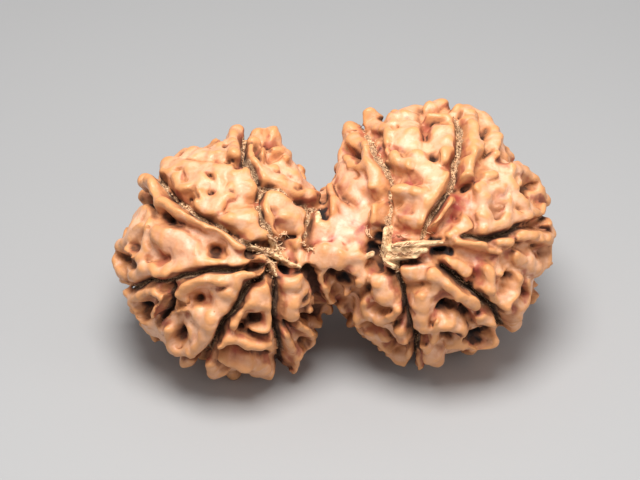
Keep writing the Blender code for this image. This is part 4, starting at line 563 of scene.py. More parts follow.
class CarvedStone:  # a field on a grid, below 0 inside the stone, and masks of what lies on it and of painted shade
    def __init__(self, pitch):
        self.pitch = pitch
        self.low = np.array(stoneForm["firstCorner"])
        corners = zip(stoneForm["firstCorner"], stoneForm["lastCorner"])
        axes = [np.arange(a, b, pitch, dtype=np.float32) for a, b in corners]
        self.grid = np.stack(np.meshgrid(*axes, indexing="ij"), axis=-1)
        self.points = self.grid + wobble(self.grid)
        self.level = plateau(self.points)
        self.field = self.level - waves(self.points, 4, *reliefs["swell"])
        self.ragged = waves(self.points, 6, *reliefs["rags"]) * stoneForm["raggedness"]
        names = ("pulp", "stainAndWaistShade", "paper", "shade")
        self.masks = {name: np.zeros_like(self.field) for name in names}

    def block(self, path, reach):
        first = np.floor((path.min(axis=0) - reach - self.low) / self.pitch).astype(int)
        last = np.ceil((path.max(axis=0) + reach - self.low) / self.pitch).astype(int)
        return tuple(slice(max(a, 0), max(b, 0) + 1) for a, b in zip(first, last))

    def beside(self, path, reach):  # how far grid points lie above, beside and along a path
        near = self.block(path, reach)
        apart = np.full(self.level[near].shape, 9, np.float32)
        along, above = np.zeros_like(apart), np.zeros_like(apart)
        start = 0.0
        rises = plateau(path)
        for i in range(1, len(path)) if len(path) > 1 else (0,):  # one point is a run of no length
            before = max(i - 1, 0)
            spot = self.block(path[[before, i]], reach)
            inner = tuple(slice(s.start - n.start, s.stop - n.start) for s, n in zip(spot, near))
            run = path[i] - path[before]
            length = np.linalg.norm(run)
            here = self.points[spot] - path[before].astype(np.float32)
            share = clamp(here @ run.astype(np.float32) / max(length ** 2, 1e-9))
            gap = np.linalg.norm(here - share[..., None] * run.astype(np.float32), axis=-1)
            climb = self.level[spot] - rises[before] - share * (rises[i] - rises[before])
            closer = gap < apart[inner]
            for kept, found in ((apart, gap), (along, start + share * length), (above, climb)):
                kept[inner] = np.where(closer, found, kept[inner])
            start += length
        aside = np.sqrt(np.maximum(apart ** 2 - above ** 2, 0))
        return near, above, aside, along, start

    def ridge(self, radius, path, kind="ridge"):  # a rounded crest on a foot that spreads downwards
        form = stoneForm
        near, above, aside, along, _ = self.beside(path, radius + form["ridgeReach"])
        swell = form["ridgeSwell"] * np.sin(along * form["ridgeSwellTurn"] + 5 * path[0, 0])
        top = np.hypot(aside, np.maximum(above, 0)) - radius * (1 + swell)
        crest = top - form[kind + "Flare"] * np.maximum(-above, 0)
        self.field[near] = smoothMin(self.field[near], crest, form[kind + "Blend"])
        if kind == "strip":
            self.mark("paper", near, 1 - crest / form["stripEdge"])

    def press(self, width, depth, path, pulp=0.0):  # a soft furrow in whatever surface is there
        form = cutForm
        reach = form["furrowReach"] * width + form["furrowMargin"]
        near, _, aside, along, length = self.beside(path, reach)
        fall = np.exp(-(aside / width) ** 2)
        full = clamp(form["furrowEnd"] + fromEnd(along, length) / form["furrowFade"])
        self.field[near] += depth * full * fall
        # painted shade along the furrow, more where it is narrow and deep
        shade = min(form["furrowShadeMost"], form["furrowShade"] * depth / width)
        gain, loss = form["furrowShadeFall"]
        self.mark("shade", near, shade * clamp(fall * gain - loss))
        if pulp:
            gain, loss = form["furrowPulpFall"]
            self.mark("pulp", near, pulp * clamp(fall * (1 + self.ragged[near]) * gain - loss))

    def cut(self, width, depth, path, lip, pulp=0.0, shade=0.0):  # a slot, open above
        form = cutForm
        reach = max(width, form["slotReach"]) + depth + form["slotMargin"]
        near, level, aside, along, length = self.beside(path, reach)
        fade = min(form["slotFadeMost"], form["slotFadeShare"] * length) or 1.0
        end, floor = form["slotEnd"], form["slotFloor"]
        bottom = depth * (end + (1 - end) * clamp(fromEnd(along, length) / fade))
        half = width * (floor + (1 - floor) * clamp(1 + level / bottom))
        half += form["slotFlare"] * np.maximum(level, 0)
        half *= 1 + self.ragged[near]
        slot = smoothMax(aside - half, -(level + bottom), form["slotBlend"])
        self.field[near] = smoothMax(self.field[near], -slot, lip)
        if pulp:
            wall, run, above, rise = form["slotPulp"]
            self.mark("pulp", near, pulp * clamp(wall - slot / run) * clamp(above - level / rise))
        # painted shade on the walls and floor of the slot
        if shade:
            wall, run, above, rise = form["slotShade"]
            inside = clamp(wall - slot / run) * clamp(above - level / rise)
            self.mark("shade", near, shade * inside)

    def mark(self, name, near, value):
        self.masks[name][near] = np.maximum(self.masks[name][near], clamp(value))

    def rest(self):  # the small flats that the stone lies on
        lean = stoneForm["faceLean"]
        height = self.grid[..., 1] * math.sin(lean) + self.grid[..., 2] * math.cos(lean)
        self.field = smoothMax(self.field, -(height + stoneForm["groundDrop"]),
                               stoneForm["flatBlend"])


def backGrooves():
    draw = np.random.default_rng(hiddenSide["seed"])
    share = np.linspace(0, 1, hiddenSide["groovePoints"])[:, None]
    turn = math.pi / 2 * share
    grooves = []
    for bead, angles in hiddenSide["edgeAngles"].items():
        centre, radii = map(np.array, stoneForm[bead])
        pole = hiddenSide["poles"][bead]
        poleWay = np.array([pole[0] - centre[0], pole[1] - centre[1], -radii[2]])
        for angle in angles:
            out = np.array([math.cos(math.radians(angle)), math.sin(math.radians(angle)), 0])
            side = np.array([-out[1], out[0], 0])
            swing = sum(draw.uniform(-far, far) * np.sin(share * fast + draw.uniform(0, 6))
                        for far, fast in hiddenSide["swings"])
            line = centre + out * radii * np.cos(turn) + poleWay * np.sin(turn)
            line += side * swing * np.sin(math.pi * share)
            grooves.append(snap(line[:-1]))
    return grooves


def backKnuckles(grooves):  # seeded places clear of the grooves: a ridge and the crease at its foot
    form = hiddenSide
    draw = np.random.default_rng(form["seed"] + 1)
    taken, knuckles = [], []
    beads = (stoneForm["leftBead"], stoneForm["rightBead"])
    for bead, other in zip(beads, beads[::-1]):
        centre, radii = map(np.array, bead)
        placed = 0
        for _ in range(form["tries"]):
            if placed == form["knuckles"]:
                break
            way = draw.normal(size=3)
            way /= np.linalg.norm(way)
            turn = draw.normal(size=3)
            sizes = [draw.uniform(*ends) for ends in form["knuckleSizes"]]
            length, radius, height, width, depth = sizes
            if way[2] > form["foremostWay"]:
                continue
            spot = snap((centre + way * radii)[None])[0]
            if ellipsoid(spot, *other) < form["beadClearance"]:
                continue
            if spot[2] > centre[2] - form["faceClearance"]:
                continue
            if any(np.linalg.norm(spot - earlier) < form["knuckleSpacing"] for earlier in taken):
                continue
            clear = min(np.linalg.norm(line - spot, axis=1).min() for line in grooves)
            if clear < form["grooveClearance"]:
                continue
            along = np.cross(way, turn)
            along /= np.linalg.norm(along)
            across = np.cross(way, along)
            run = np.array(form["knuckleRun"])[:, None]
            curve = spot + along * run * length / 2 + across * form["knuckleBow"] * (1 - run ** 2)
            foot = curve + across * (radius + width * form["creaseAside"])
            crest = snap(curve, height + stoneForm["ridgeRise"] - radius)
            knuckles.append((radius, crest, width, depth, snap(foot[:3])))
            taken.append(spot)
            placed += 1
    return knuckles


def carve(stone):  # valleys, then ridges, then cuts, so that every groove stays open to the air
    form, rise = stoneForm, stoneForm["ridgeRise"]
    behind = backGrooves()
    knuckles = backKnuckles(behind)
    openings = leftGrooves + rightGrooves + seams
    lines = [snap(lift(smoothLine(points))) for _, _, *points in openings]
    for line in lines[:-len(seams)] + behind:
        stone.cut(form["valleyWidth"], form["valleyDepth"], line, form["valleyLip"])
    for radius, height, *points in plates:
        stone.ridge(radius, lift(smoothLine(points), height + rise - form["plateSink"] - radius))
    for radius, height, *points in leftRidges + bridgeRidges + rightRidges:
        stone.ridge(radius, lift(smoothLine(points), height + rise - radius))
    for radius, crest, *_ in knuckles:
        stone.ridge(radius, crest)
    print("ridges raised")
    stone.field -= waves(stone.points, 5, *reliefs["grain"])
    lumps = np.abs(waves(stone.points, 9, *reliefs["lumps"])) - form["lumpMiddle"]
    stone.field -= form["lumpSize"] * lumps
    for line in behind:
        stone.cut(hiddenSide["grooveWidth"], hiddenSide["grooveDepth"], line, form["grooveLip"],
                  hiddenSide["pulp"])
    for _, _, width, depth, foot in knuckles:
        stone.press(width * hiddenSide["creaseSpread"], depth * hiddenSide["creasePress"], foot)
    amounts = pulpLeft["leftGrooves"] + pulpLeft["rightGrooves"] + pulpLeft["seams"]
    for (width, depth, *_), line, pulp in zip(openings, lines, amounts):
        if pulp > form["filledFrom"]:
            stone.press(form["filledWidth"], form["filledDepth"], line, pulp)
        else:
            stone.cut(width * form["grooveNarrowing"], depth, line, form["grooveLip"], pulp,
                      form["grooveShade"] - form["pulpCover"] * pulp)
    for width, depth, *points in leftPits + bridgePits + rightPits:
        line = seen(stone, smoothLine(points))
        line += wobble(line)
        stone.press(max(width, pitForm["leastWidth"]) * pitForm["pressSpread"],
                    pitForm["press"] + pitForm["pressGrowth"] * min(depth, 1.0), line)
        if depth >= pitForm["cutFrom"]:
            deep = depth >= pitForm["deep"]
            held = 0.0 if deep or width >= pitForm["wide"] else pulpLeft["pits"]
            stone.cut(width * pitForm["narrowing"], depth, line, pitForm["lip"], held,
                      pitForm["deepShade" if deep else "shade"])
    for radius, height, *points in paleStrips:
        stone.ridge(radius, lift(smoothLine(points), height + form["stripRise"] - radius), "strip")
    # Red stains, and faint red flushes that paint shade over the waist between the beads.
    for places, strength in ((redStains, 1.0), (flushesAndWaistShade, flushAndShadeStrength)):
        for u, v, radius in places:
            spot = snap(lift(np.array([[u, v]])))
            near = stone.block(spot, radius * form["stainReach"])
            gap = np.linalg.norm(stone.points[near] - spot[0].astype(np.float32), axis=-1)
            stone.mark("stainAndWaistShade", near, strength * np.exp(-(gap / radius) ** 2))
    stone.rest()
    print("grooves and pits cut")
    return lines, behind


def skinOf(stone):  # corners and quads round its inside, one corner for each cell it crosses
    field = stone.field
    cells, crossings, quads = [], [], []
    for axis in range(3):
        before = np.moveaxis(field, axis, 0)[:-1]
        after = np.moveaxis(field, axis, 0)[1:]
        crosses = np.moveaxis((before < 0) != (after < 0), 0, axis)
        at = np.argwhere(crosses)
        inner = np.moveaxis(before, 0, axis)[crosses]
        outer = np.moveaxis(after, 0, axis)[crosses]
        point = at.astype(float)
        point[:, axis] += inner / (inner - outer)
        ring = []
        for first, second in ((0, 0), (1, 0), (1, 1), (0, 1)):
            cell = at.copy()
            cell[:, (axis + 1) % 3] -= first
            cell[:, (axis + 2) % 3] -= second
            ring.append(np.ravel_multi_index(cell.T, field.shape))
        ring = np.stack(ring, axis=1)
        cells.append(ring.ravel())
        crossings.append(np.repeat(point, 4, axis=0))
        quads.append(np.where((inner < 0)[:, None], ring, ring[:, ::-1]))
    crossings = np.vstack(crossings)
    _, index = np.unique(np.concatenate(cells), return_inverse=True)
    count = np.bincount(index)
    corners = [np.bincount(index, weights=crossings[:, i]) / count for i in range(3)]
    _, quadIndex = np.unique(np.vstack(quads), return_inverse=True)
    return stone.low + np.stack(corners, axis=1) * stone.pitch, quadIndex.reshape(-1, 4)


def largestShell(corners, quads):  # leaves out hollows that lost their mouth, and loose scraps
    label = np.arange(len(corners))
    while True:
        lowest = label[quads].min(axis=1)
        fresh = label.copy()
        np.minimum.at(fresh, quads.ravel(), np.repeat(lowest, 4))
        fresh = fresh[fresh]
        if (fresh == label).all():
            break
        label = fresh
    main = np.bincount(label).argmax()
    keep = quads[label[quads[:, 0]] == main]
    used, index = np.unique(keep, return_inverse=True)
    return corners[used], index.reshape(-1, 4)


def reading(grid, stone, points):  # the value of a grid at any points, read between its corners
    at = (points - stone.low) / stone.pitch
    cell = np.clip(np.floor(at).astype(int), 0, np.array(grid.shape) - 2)
    share = clamp(at - cell)
    total = np.zeros(len(points))
    for corner in itertools.product((0, 1), repeat=3):
        weight = np.prod(np.where(corner, share, 1 - share), axis=-1)
        total += weight * grid[tuple((cell + corner).T)]
    return total


def added(name, data):  # a new object of the scene
    thing = bpy.data.objects.new(name, data)
    bpy.context.scene.collection.objects.link(thing)
    return thing


def evaluatedMesh(piece):
    graph = bpy.context.evaluated_depsgraph_get()
    return bpy.data.meshes.new_from_object(piece.evaluated_get(graph))


def thinned(mesh, triangles):
    helper = added("helper", mesh)
    mesh.calc_loop_triangles()
    thin = helper.modifiers.new("Thin", "DECIMATE")
    thin.ratio = min(1, triangles / len(mesh.loop_triangles))
    thin.use_collapse_triangulate = True
    result = evaluatedMesh(helper)
    bpy.data.objects.remove(helper)
    return result


def vectors(items, key):
    values = np.zeros(len(items) * 3, np.float32)
    items.foreach_get(key, values)
    return values.reshape(-1, 3).astype(float)


def addAttribute(mesh, name, values):
    layer = mesh.attributes.new(name, "FLOAT", "POINT")
    layer.data.foreach_set("value", np.clip(values, -1, 1).astype(np.float32))


def describeSurface(mesh, stone):  # how hollow, sharp, high and marked each place is
    points, normals = vectors(mesh.vertices, "co"), vectors(mesh.vertex_normals, "vector")
    hollow = np.zeros(len(points))
    for reach, share in stoneForm["hollowReaches"]:
        clear = reading(stone.field, stone, points + normals * reach)
        hollow += share * clamp(1 - clear / reach)
    bend, reach = np.zeros(len(points)), stoneForm["bendReach"]
    for step in np.vstack([np.eye(3), -np.eye(3)]) * reach:
        bend += reading(stone.field, stone, points + step)
    addAttribute(mesh, "hollow", hollow)
    addAttribute(mesh, "crest", bend / 6 / reach * 2)
    addAttribute(mesh, "height", reading(stone.level, stone, points))
    for name, mask in stone.masks.items():
        addAttribute(mesh, name, reading(mask, stone, points))


def toGround(points, shift):  # from the frame of the face, in millimetres, to the scene, in metres
    turn = np.array(Matrix.Rotation(stoneForm["faceLean"], 3, "X"))
    return (points @ turn.T + np.array([0, 0, stoneForm["groundDrop"]]) + shift) * mm


def makeStone():
    stone = CarvedStone(stoneForm["pitch"])
    print("beads shaped")
    lines, behind = carve(stone)
    corners, quads = largestShell(*skinOf(stone))
    mesh = bpy.data.meshes.new("fineSkin")
    mesh.from_pydata(corners.tolist(), [], quads.tolist())
    mesh = thinned(mesh, stoneForm["triangles"])
    describeSurface(mesh, stone)
    points = toGround(vectors(mesh.vertices, "co"), np.zeros(3))
    low, high = points.min(axis=0), points.max(axis=0)
    cadLow, cadHigh = map(np.array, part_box("rudraksha"))
    shift = ((cadLow + cadHigh - low - high) / 2 / mm) * np.array([1, 1, 0])
    mesh.vertices.foreach_set("co", (points + shift * mm).ravel())
    mesh.update()
    mesh.shade_smooth()
    print("stone has", len(mesh.polygons), "triangles")
    return added("rudrakshaStone", mesh), stone, shift, lines, behind


class Value:  # a socket that Python's own + - * work on
    def __init__(self, finish, socket):
        self.finish, self.socket = finish, socket

    def math(self, operation, *values):
        return self.finish.node("ShaderNodeMath", {"operation": operation}, dict(enumerate(values)))

    def __add__(self, other):
        return self.math("ADD", self, other)

    def __sub__(self, other):
        return self.math("SUBTRACT", self, other)

    def __mul__(self, other):
        return self.math("MULTIPLY", self, other)

    def __rsub__(self, other):
        return self.math("SUBTRACT", other, self)

    __radd__ = __add__
    __rmul__ = __mul__

    def between(self, low, high):  # 0 up to low and 1 from high on
        inputs = {"Value": self, "From Min": low, "From Max": high}
        return self.finish.node("ShaderNodeMapRange", {"interpolation_type": "SMOOTHSTEP"}, inputs)


class Finish:  # a material whose nodes come from one method
    def __init__(self, name):
        self.material = bpy.data.materials.new(name)
        self.material.use_nodes = True
        self.tree = self.material.node_tree
        self.tree.nodes.clear()

    def node(self, kind, settings=None, inputs=None, take=0):
        made = self.tree.nodes.new(kind)
        for name, setting in (settings or {}).items():
            setattr(made, name, setting)
        for name, value in (inputs or {}).items():
            if isinstance(value, Value):
                self.tree.links.new(value.socket, made.inputs[name])
            else:
                made.inputs[name].default_value = value
        return Value(self, made.outputs[take])

    def attribute(self, name):
        return self.node("ShaderNodeAttribute", {"attribute_name": name}, take=2)

    def noise(self, size, detail=3.0, roughness=0.55, stretch=None, distortion=0.0):  # size in mm
        place = self.node("ShaderNodeTexCoord", take=3)
        if stretch:
            place = self.node("ShaderNodeMapping", inputs={"Vector": place, "Scale": stretch})
        inputs = {"Vector": place, "Scale": 1 / (size * mm), "Detail": detail,
                  "Roughness": roughness, "Distortion": distortion}
        return self.node("ShaderNodeTexNoise", inputs=inputs)

    def mix(self, a, b, share):
        settings = {"data_type": "RGBA", "clamp_factor": True}
        return self.node("ShaderNodeMix", settings, {0: share, 6: a, 7: b}, take=2)

    def bump(self, height, depth, strength=1.0, under=None):  # depth in millimetres
        inputs = {"Height": height, "Distance": depth * mm, "Strength": strength}
        if under:
            inputs["Normal"] = under
        return self.node("ShaderNodeBump", inputs=inputs)

    def shade(self, **inputs):
        named = {name.replace("_", " "): value for name, value in inputs.items()}
        shader = self.node("ShaderNodeBsdfPrincipled", inputs=named)
        output = self.tree.nodes.new("ShaderNodeOutputMaterial")
        self.tree.links.new(shader.socket, output.inputs["Surface"])
        return self.material


stoneColours = {
    "plateau": (0.81, 0.44, 0.26, 1),
    "plateauPale": (0.89, 0.55, 0.36, 1),
    # an orange-brown of high places, also painted as shade in shallow hollows and at the edges of
    # cuts
    "amberToneAndShade": (0.57, 0.23, 0.08, 1),
    "honey": (0.75, 0.34, 0.125, 1),
    "mottle": (0.69, 0.29, 0.14, 1),
    # painted shade on the slopes down into hollows and cuts, and a brown of the pulp
    "pulpAndShadeBrown": (0.33, 0.12, 0.048, 1),
    # painted shade: dark brown deep in hollows and cuts, and near black inside deep pits on the
    # next line
    "paintedCreviceShade": (0.055, 0.018, 0.008, 1),
    "depth": (0.010, 0.005, 0.004, 1),
    "redStain": (0.34, 0.055, 0.035, 1),
    "pulpPale": (0.92, 0.60, 0.34, 1),
    "pulpDark": (0.20, 0.09, 0.04, 1),
    "paper": (0.87, 0.60, 0.33, 1),
    "paperDark": (0.48, 0.25, 0.11, 1),
}


def stoneFinish():
    finish = Finish("rudrakshaShell")
    colour = stoneColours
    hollow, crest, height = map(finish.attribute, ("hollow", "crest", "height"))
    pulp, stainAndWaistShade, paper, shade = map(finish.attribute, ("pulp", "stainAndWaistShade", "paper", "shade"))
    broad, middle, fine = finish.noise(3.2), finish.noise(0.9, 4.0), finish.noise(0.22, 4.0, 0.6)

    # Pinkish tan on the open plates, orange-brown growing with height, honey on the knobs:
    # partly their own tone, partly painted shade where they turn over.
    base = finish.mix(colour["plateau"], colour["plateauPale"], broad.between(0.42, 0.62) * 0.8)
    mottle = finish.noise(0.6, 4.0, 0.65)
    base = finish.mix(base, colour["mottle"], mottle.between(0.46, 0.68) * 0.6)
    knobToneAndShade = (crest + (middle - 0.5) * 0.5).between(0.06, 0.5)
    base = finish.mix(base, colour["honey"], knobToneAndShade * 0.95)
    base = finish.mix(base, colour["amberToneAndShade"], (height + (broad - 0.5) * 1.2).between(0.1, 1.2) * 0.5)
    # Painted shade: orange-brown, then dark brown, the more hollow a place is.
    low = hollow + (middle - 0.5) * 0.25
    base = finish.mix(base, colour["amberToneAndShade"], low.between(0.15, 0.40) * 0.8)
    base = finish.mix(base, colour["pulpAndShadeBrown"], low.between(0.34, 0.58) * 0.85)
    # Painted shade from the shade mask inside creases, slots and pits: orange-brown at the edge,
    # brown further in.
    shade = shade + (middle - 0.5) * 0.4 * shade
    base = finish.mix(base, colour["amberToneAndShade"], shade.between(0.05, 0.35) * 0.75)
    base = finish.mix(base, colour["pulpAndShadeBrown"], shade.between(0.25, 0.65) * 0.85)

    # Red stains, given places and others wherever it is hollow; the flushes over the waist are
    # painted shade.
    redder = stainAndWaistShade * (0.5 + middle.between(0.4, 0.62) * 0.7)
    strayRed = finish.noise(1.7, 2.0).between(0.50, 0.64) * low.between(0.12, 0.36) * 0.7
    base = finish.mix(base, colour["redStain"], (redder + strayRed) * 0.8)
    # Painted shade: dark brown deepest in hollows and cuts, black inside deep pits.
    base = finish.mix(base, colour["paintedCreviceShade"], low.between(0.55, 0.85))
    base = finish.mix(base, colour["paintedCreviceShade"], shade.between(0.55, 0.85) * 0.95)
    base = finish.mix(base, colour["depth"], shade.between(0.86, 0.97))

    # Dry pulp: pale fibres with dark specks between them.
    strands = finish.noise(0.36, 4.0, 0.75, distortion=3.0)
    pulpTone = finish.mix(colour["pulpDark"], colour["pulpPale"], strands.between(0.43, 0.60))
    pulpShare = (pulp + (middle - 0.5) * 0.5).between(0.22, 0.6)
    # less pulp colour deep in hollows, so the painted shade shows there
    base = finish.mix(base, pulpTone, pulpShare * (1 - low.between(0.72, 0.95) * 0.4))
    shreds = finish.noise(0.35, 4.0, 0.7, stretch=(0.3, 1, 1), distortion=0.6)
    paperTone = finish.mix(colour["paperDark"], colour["paper"], shreds.between(0.38, 0.56))
    base = finish.mix(base, paperTone, paper.between(0.3, 0.7))

    # Fine skin: faint pores and wrinkles all over, coarse fibre in the grooves.
    skin = finish.noise(0.45, 5.0, 0.6)
    relief = finish.bump(skin, 0.10, 0.75)
    relief = finish.bump(fine, 0.02, 0.7, under=relief)
    relief = finish.bump(strands * pulpShare, 0.09, 0.9, under=relief)
    dry = (shade + pulpShare + paper).between(0.1, 0.7) * 0.4
    roughness = 0.42 + low.between(0.1, 0.6) * 0.2 + dry + (middle - 0.5) * 0.2
    return finish.shade(Base_Color=base, Roughness=roughness, Normal=relief,
                        Specular_IOR_Level=0.55)


# Threads and crumbs of dry pulp that cling in the grooves, and shreds at the stem holes, in
# millimetres.
pulpThreads = {"spacing": 0.20, "scatter": 0.16, "length": 0.60, "thickness": 0.026, "tilt": 0.6,
               "seed": 3}
pulpCrumbs = {"spacing": 0.17, "scatter": 0.19, "length": 0.15, "thickness": 0.045, "tilt": 3.1,
              "seed": 8}
stemShreds = {"spacing": 0.10, "scatter": 0.16, "length": 0.70, "thickness": 0.028, "tilt": 0.6,
              "seed": 12}
pulpPlaces = {
    "openings": (0, 1, 3, 4, 5, 6, 8, 9, 10, 12),  # the grooves and seams that carry it
    "highest": 1.0,  # it is looked for from this level down to the deepest
    "deepest": -2.4,
    "step": 0.08,
    "lieAt": 0.02,
}

# Where dry shreds of the stems lie round the two stem holes: u, v of each point.
shredLines = (
    (-7.1, -0.65, -6.1, -1.2, -5.3, -1.3), (-5.8, 0.6, -5, -0.15, -4.5, -1),
    (-5.2, -1.1, -4.3, -1.5), (-5.9, -1.6, -5.2, -2.2), (-6.4, -0.9, -5.4, -0.85, -4.7, -0.7),
    (-5, 0.3, -4.4, 0.7, -4, 0.3), (-2.9, -0.2, -2.4, -0.7, -1.9, -0.9),
    (4.7, 0.7, 4.2, -0.2, 4.1, -1.2, 4.6, -2.1), (4.6, -1.1, 5.8, -1.1, 7, -0.9),
    (5, -0.45, 6.2, -0.35, 7.4, -0.2), (2.9, 0.9, 3.1, 0.3), (8, 0.7, 8.4, 0.6),
    (4.9, 0.3, 5.5, 0.45, 6.1, 0.3),
)


def onStone(stone, line):  # the places on the carved surface right under a line on the plateau
    still = line
    for _ in range(3):
        still = line - wobble(still)
    slope = still - snap(still, -1.0)
    slope /= np.linalg.norm(slope, axis=1, keepdims=True)
    found = still.copy()
    looking = np.ones(len(still), bool)
    for level in np.arange(pulpPlaces["highest"], pulpPlaces["deepest"], -pulpPlaces["step"]):
        spot = still + slope * level
        inside = looking & (reading(stone.field, stone, spot) < 0)
        found[inside] = spot[inside] + slope[inside] * pulpPlaces["lieAt"]
        looking &= ~inside
    return found[~looking]


def pulpTree(name, values, material):
    tree = bpy.data.node_groups.new(name, "GeometryNodeTree")
    tree.interface.new_socket("Geometry", in_out="INPUT", socket_type="NodeSocketGeometry")
    for label in values:
        kind = "NodeSocketInt" if label == "seed" else "NodeSocketFloat"
        tree.interface.new_socket(label, in_out="INPUT", socket_type=kind)
    tree.interface.new_socket("Geometry", in_out="OUTPUT", socket_type="NodeSocketGeometry")

    def node(kind, settings=None, **links):
        made = tree.nodes.new(kind)
        for key, setting in (settings or {}).items():
            setattr(made, key, setting)
        for key, value in links.items():
            feed(made.inputs[key.replace("_", " ")], value)
        return made

    def feed(socket, value):
        if isinstance(value, bpy.types.NodeSocket):
            tree.links.new(value, socket)
        else:
            socket.default_value = value

    def randomVector(low, high, seed):
        made = node("FunctionNodeRandomValue", {"data_type": "FLOAT_VECTOR"}, Seed=seed)
        feed(made.inputs[0], low)
        feed(made.inputs[1], high)
        return made.outputs[0]

    def shaken(scale):  # a random vector up to this long each way
        made = node("ShaderNodeVectorMath", {"operation": "SCALE"}, Scale=scale)
        feed(made.inputs[0], randomVector((-1, -1, -1), (1, 1, 1), given["seed"]))
        return made.outputs[0]

    def ofLength(share):
        made = node("ShaderNodeMath", {"operation": "MULTIPLY"})
        feed(made.inputs[0], given["length"])
        feed(made.inputs[1], share)
        return made.outputs[0]

    given = node("NodeGroupInput").outputs
    path = node("GeometryNodeMeshToCurve", Mesh=given["Geometry"]).outputs[0]
    even = node("GeometryNodeResampleCurve", {"mode": "LENGTH"}, Curve=path,
                Length=given["spacing"])
    places = node("GeometryNodeCurveToPoints", {"mode": "EVALUATED"}, Curve=even.outputs[0]).outputs
    moved = node("GeometryNodeSetPosition", Geometry=places["Points"],
                 Offset=shaken(given["scatter"]))

    start = node("ShaderNodeCombineXYZ", Z=ofLength(-0.5)).outputs[0]
    middle = node("ShaderNodeCombineXYZ", X=ofLength(0.35)).outputs[0]
    end = node("ShaderNodeCombineXYZ", Z=ofLength(0.5)).outputs[0]
    arc = node("GeometryNodeCurveQuadraticBezier", Resolution=4, Start=start, Middle=middle,
               End=end)
    ring = node("GeometryNodeCurvePrimitiveCircle", {"mode": "RADIUS"}, Resolution=4,
                Radius=given["thickness"])
    thread = node("GeometryNodeCurveToMesh", Curve=arc.outputs[0], Profile_Curve=ring.outputs[0],
                  Fill_Caps=True)

    turn = node("FunctionNodeEulerToRotation", Euler=shaken(given["tilt"])).outputs[0]
    turned = node("FunctionNodeRotateRotation", {"rotation_space": "LOCAL"},
                  Rotation=places["Rotation"], Rotate_By=turn)
    copies = node("GeometryNodeInstanceOnPoints", Points=moved.outputs[0],
                  Instance=thread.outputs[0], Rotation=turned.outputs[0],
                  Scale=randomVector((0.5, 0.5, 0.5), (1.6, 1.6, 1.3), 5))
    tone = node("FunctionNodeRandomValue", {"data_type": "FLOAT"}, Seed=11)
    marked = node("GeometryNodeStoreNamedAttribute", {"data_type": "FLOAT", "domain": "INSTANCE"},
                  Geometry=copies.outputs[0], Name="tone", Value=tone.outputs[1])
    real = node("GeometryNodeRealizeInstances", Geometry=marked.outputs[0])
    finished = node("GeometryNodeSetMaterial", Geometry=real.outputs[0], Material=material)
    feed(node("NodeGroupOutput").inputs[0], finished.outputs[0])
    return tree


def grownAlong(name, lines, values, material):  # a piece of pulp threads or crumbs along the lines
    places, edges = [], []
    for line in lines:
        edges += [(len(places) + i, len(places) + i + 1) for i in range(len(line) - 1)]
        places += line.tolist()
    mesh = bpy.data.meshes.new(name)
    mesh.from_pydata(places, edges, [])
    piece = added(name, mesh)
    tree = pulpTree(name + "Tree", values, material)
    modifier = piece.modifiers.new("Grown", "NODES")
    modifier.node_group = tree
    for item in tree.interface.items_tree:
        if item.in_out == "INPUT" and item.name in values:
            scale = 1 if item.name in ("tilt", "seed") else mm
            modifier[item.identifier] = values[item.name] * scale
    grown = evaluatedMesh(piece)
    piece.modifiers.remove(modifier)
    piece.data = grown
    grown.name = name
    print(name, "has", len(grown.polygons), "faces")
    return piece


def pulpFinish():
    finish = Finish("dryPulp")
    tone = finish.attribute("tone")
    speckle = finish.noise(0.12, 3.0)
    base = finish.mix(stoneColours["pulpDark"], stoneColours["pulpAndShadeBrown"], tone.between(0.0, 0.3))
    pale = (tone + (speckle - 0.5) * 0.4).between(0.25, 0.6)
    base = finish.mix(base, stoneColours["pulpPale"], pale)
    relief = finish.bump(speckle, 0.02, 0.6)
    return finish.shade(Base_Color=base, Roughness=0.75 + (speckle - 0.5) * 0.1, Normal=relief)


# Soft studio: a broad light above and a little in front of the stone, a weak one from the right, a
# pale sky and a plain floor.
studio = {
    "cameraFace": (-1.275, 0.0, 0.0),  # the place on the face that the photograph's middle shows
    "cameraAway": 200.0,
    "cameraElevation": math.radians(40),
    "cameraReach": (0.01, 10),
    "filmWidth": 36,
    "viewWidth": 54.4,
    "keyPlace": (-6, -28, 152), "keySize": 85, "keyPower": 0.37,
    "fillPlace": (165, -75, 55), "fillSize": 90, "fillPower": 0.065,
    "floorHalf": 1,
    "floorColour": (0.37, 0.365, 0.36, 1),
    "floorRoughness": 0.7,
    "skyColour": (0.86, 0.87, 0.90, 1),
    "skyStrength": 0.48,
}


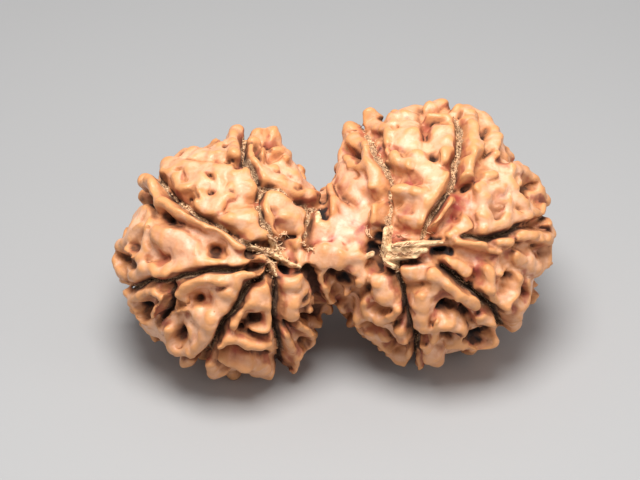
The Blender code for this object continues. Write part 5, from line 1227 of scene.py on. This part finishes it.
def addCamera(shift):
    elevation, away = studio["cameraElevation"], studio["cameraAway"] * mm
    target = Vector(toGround(np.array([studio["cameraFace"]]), shift)[0])
    back = Vector((0, -math.cos(elevation), math.sin(elevation)))
    lens = bpy.data.cameras.new("camera")
    lens.sensor_width = studio["filmWidth"]
    lens.lens = studio["filmWidth"] * studio["cameraAway"] / studio["viewWidth"]
    lens.clip_start, lens.clip_end = studio["cameraReach"]
    camera = added("camera", lens)
    camera.location = target + back * away
    camera.rotation_euler = back.to_track_quat("Z", "Y").to_euler()
    bpy.context.scene.camera = camera


def addLight(name):
    light = bpy.data.lights.new(name, "AREA")
    light.shape, light.size = "DISK", studio[name + "Size"] * mm
    light.energy = studio[name + "Power"]
    lamp = added(name, light)
    middle = Vector((0, 0, stoneForm["groundDrop"] * mm))
    lamp.location = middle + Vector(studio[name + "Place"]) * mm
    lamp.rotation_euler = (lamp.location - middle).to_track_quat("Z", "Y").to_euler()


def addFloor():
    mesh, half = bpy.data.meshes.new("studioFloor"), studio["floorHalf"]
    corners = [(-half, -half, 0), (half, -half, 0), (half, half, 0), (-half, half, 0)]
    mesh.from_pydata(corners, [], [(0, 1, 2, 3)])
    paint = Finish("floorPaint")
    mesh.materials.append(paint.shade(Base_Color=studio["floorColour"],
                                      Roughness=studio["floorRoughness"]))
    added("studioFloor", mesh)


def addSky():
    world = bpy.data.worlds.new("studioSky")
    world.use_nodes = True
    background = world.node_tree.nodes["Background"]
    background.inputs["Color"].default_value = studio["skyColour"]
    background.inputs["Strength"].default_value = studio["skyStrength"]
    bpy.context.scene.world = world
    bpy.context.scene.view_settings.view_transform = "Standard"


stonePiece, carved, shift, openingLines, behind = makeStone()
stonePiece.data.materials.append(stoneFinish())
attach(stonePiece, "root")
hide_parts("rudraksha")
print("stone finished")

pulpLines = [toGround(onStone(carved, line), shift)
             for line in [openingLines[i] for i in pulpPlaces["openings"]] + behind]
stemLines = [toGround(seen(carved, smoothLine(line)), shift) for line in shredLines]
pulpMaterial = pulpFinish()
for name, lines, values in (("pulpThreads", pulpLines, pulpThreads),
                            ("pulpCrumbs", pulpLines, pulpCrumbs),
                            ("stemShreds", stemLines, stemShreds)):
    piece = grownAlong(name, lines, values, pulpMaterial)
    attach(piece, "root")
print("pulp grown")

addCamera(shift)
addLight("key")
addLight("fill")
addFloor()
addSky()
print("studio ready")
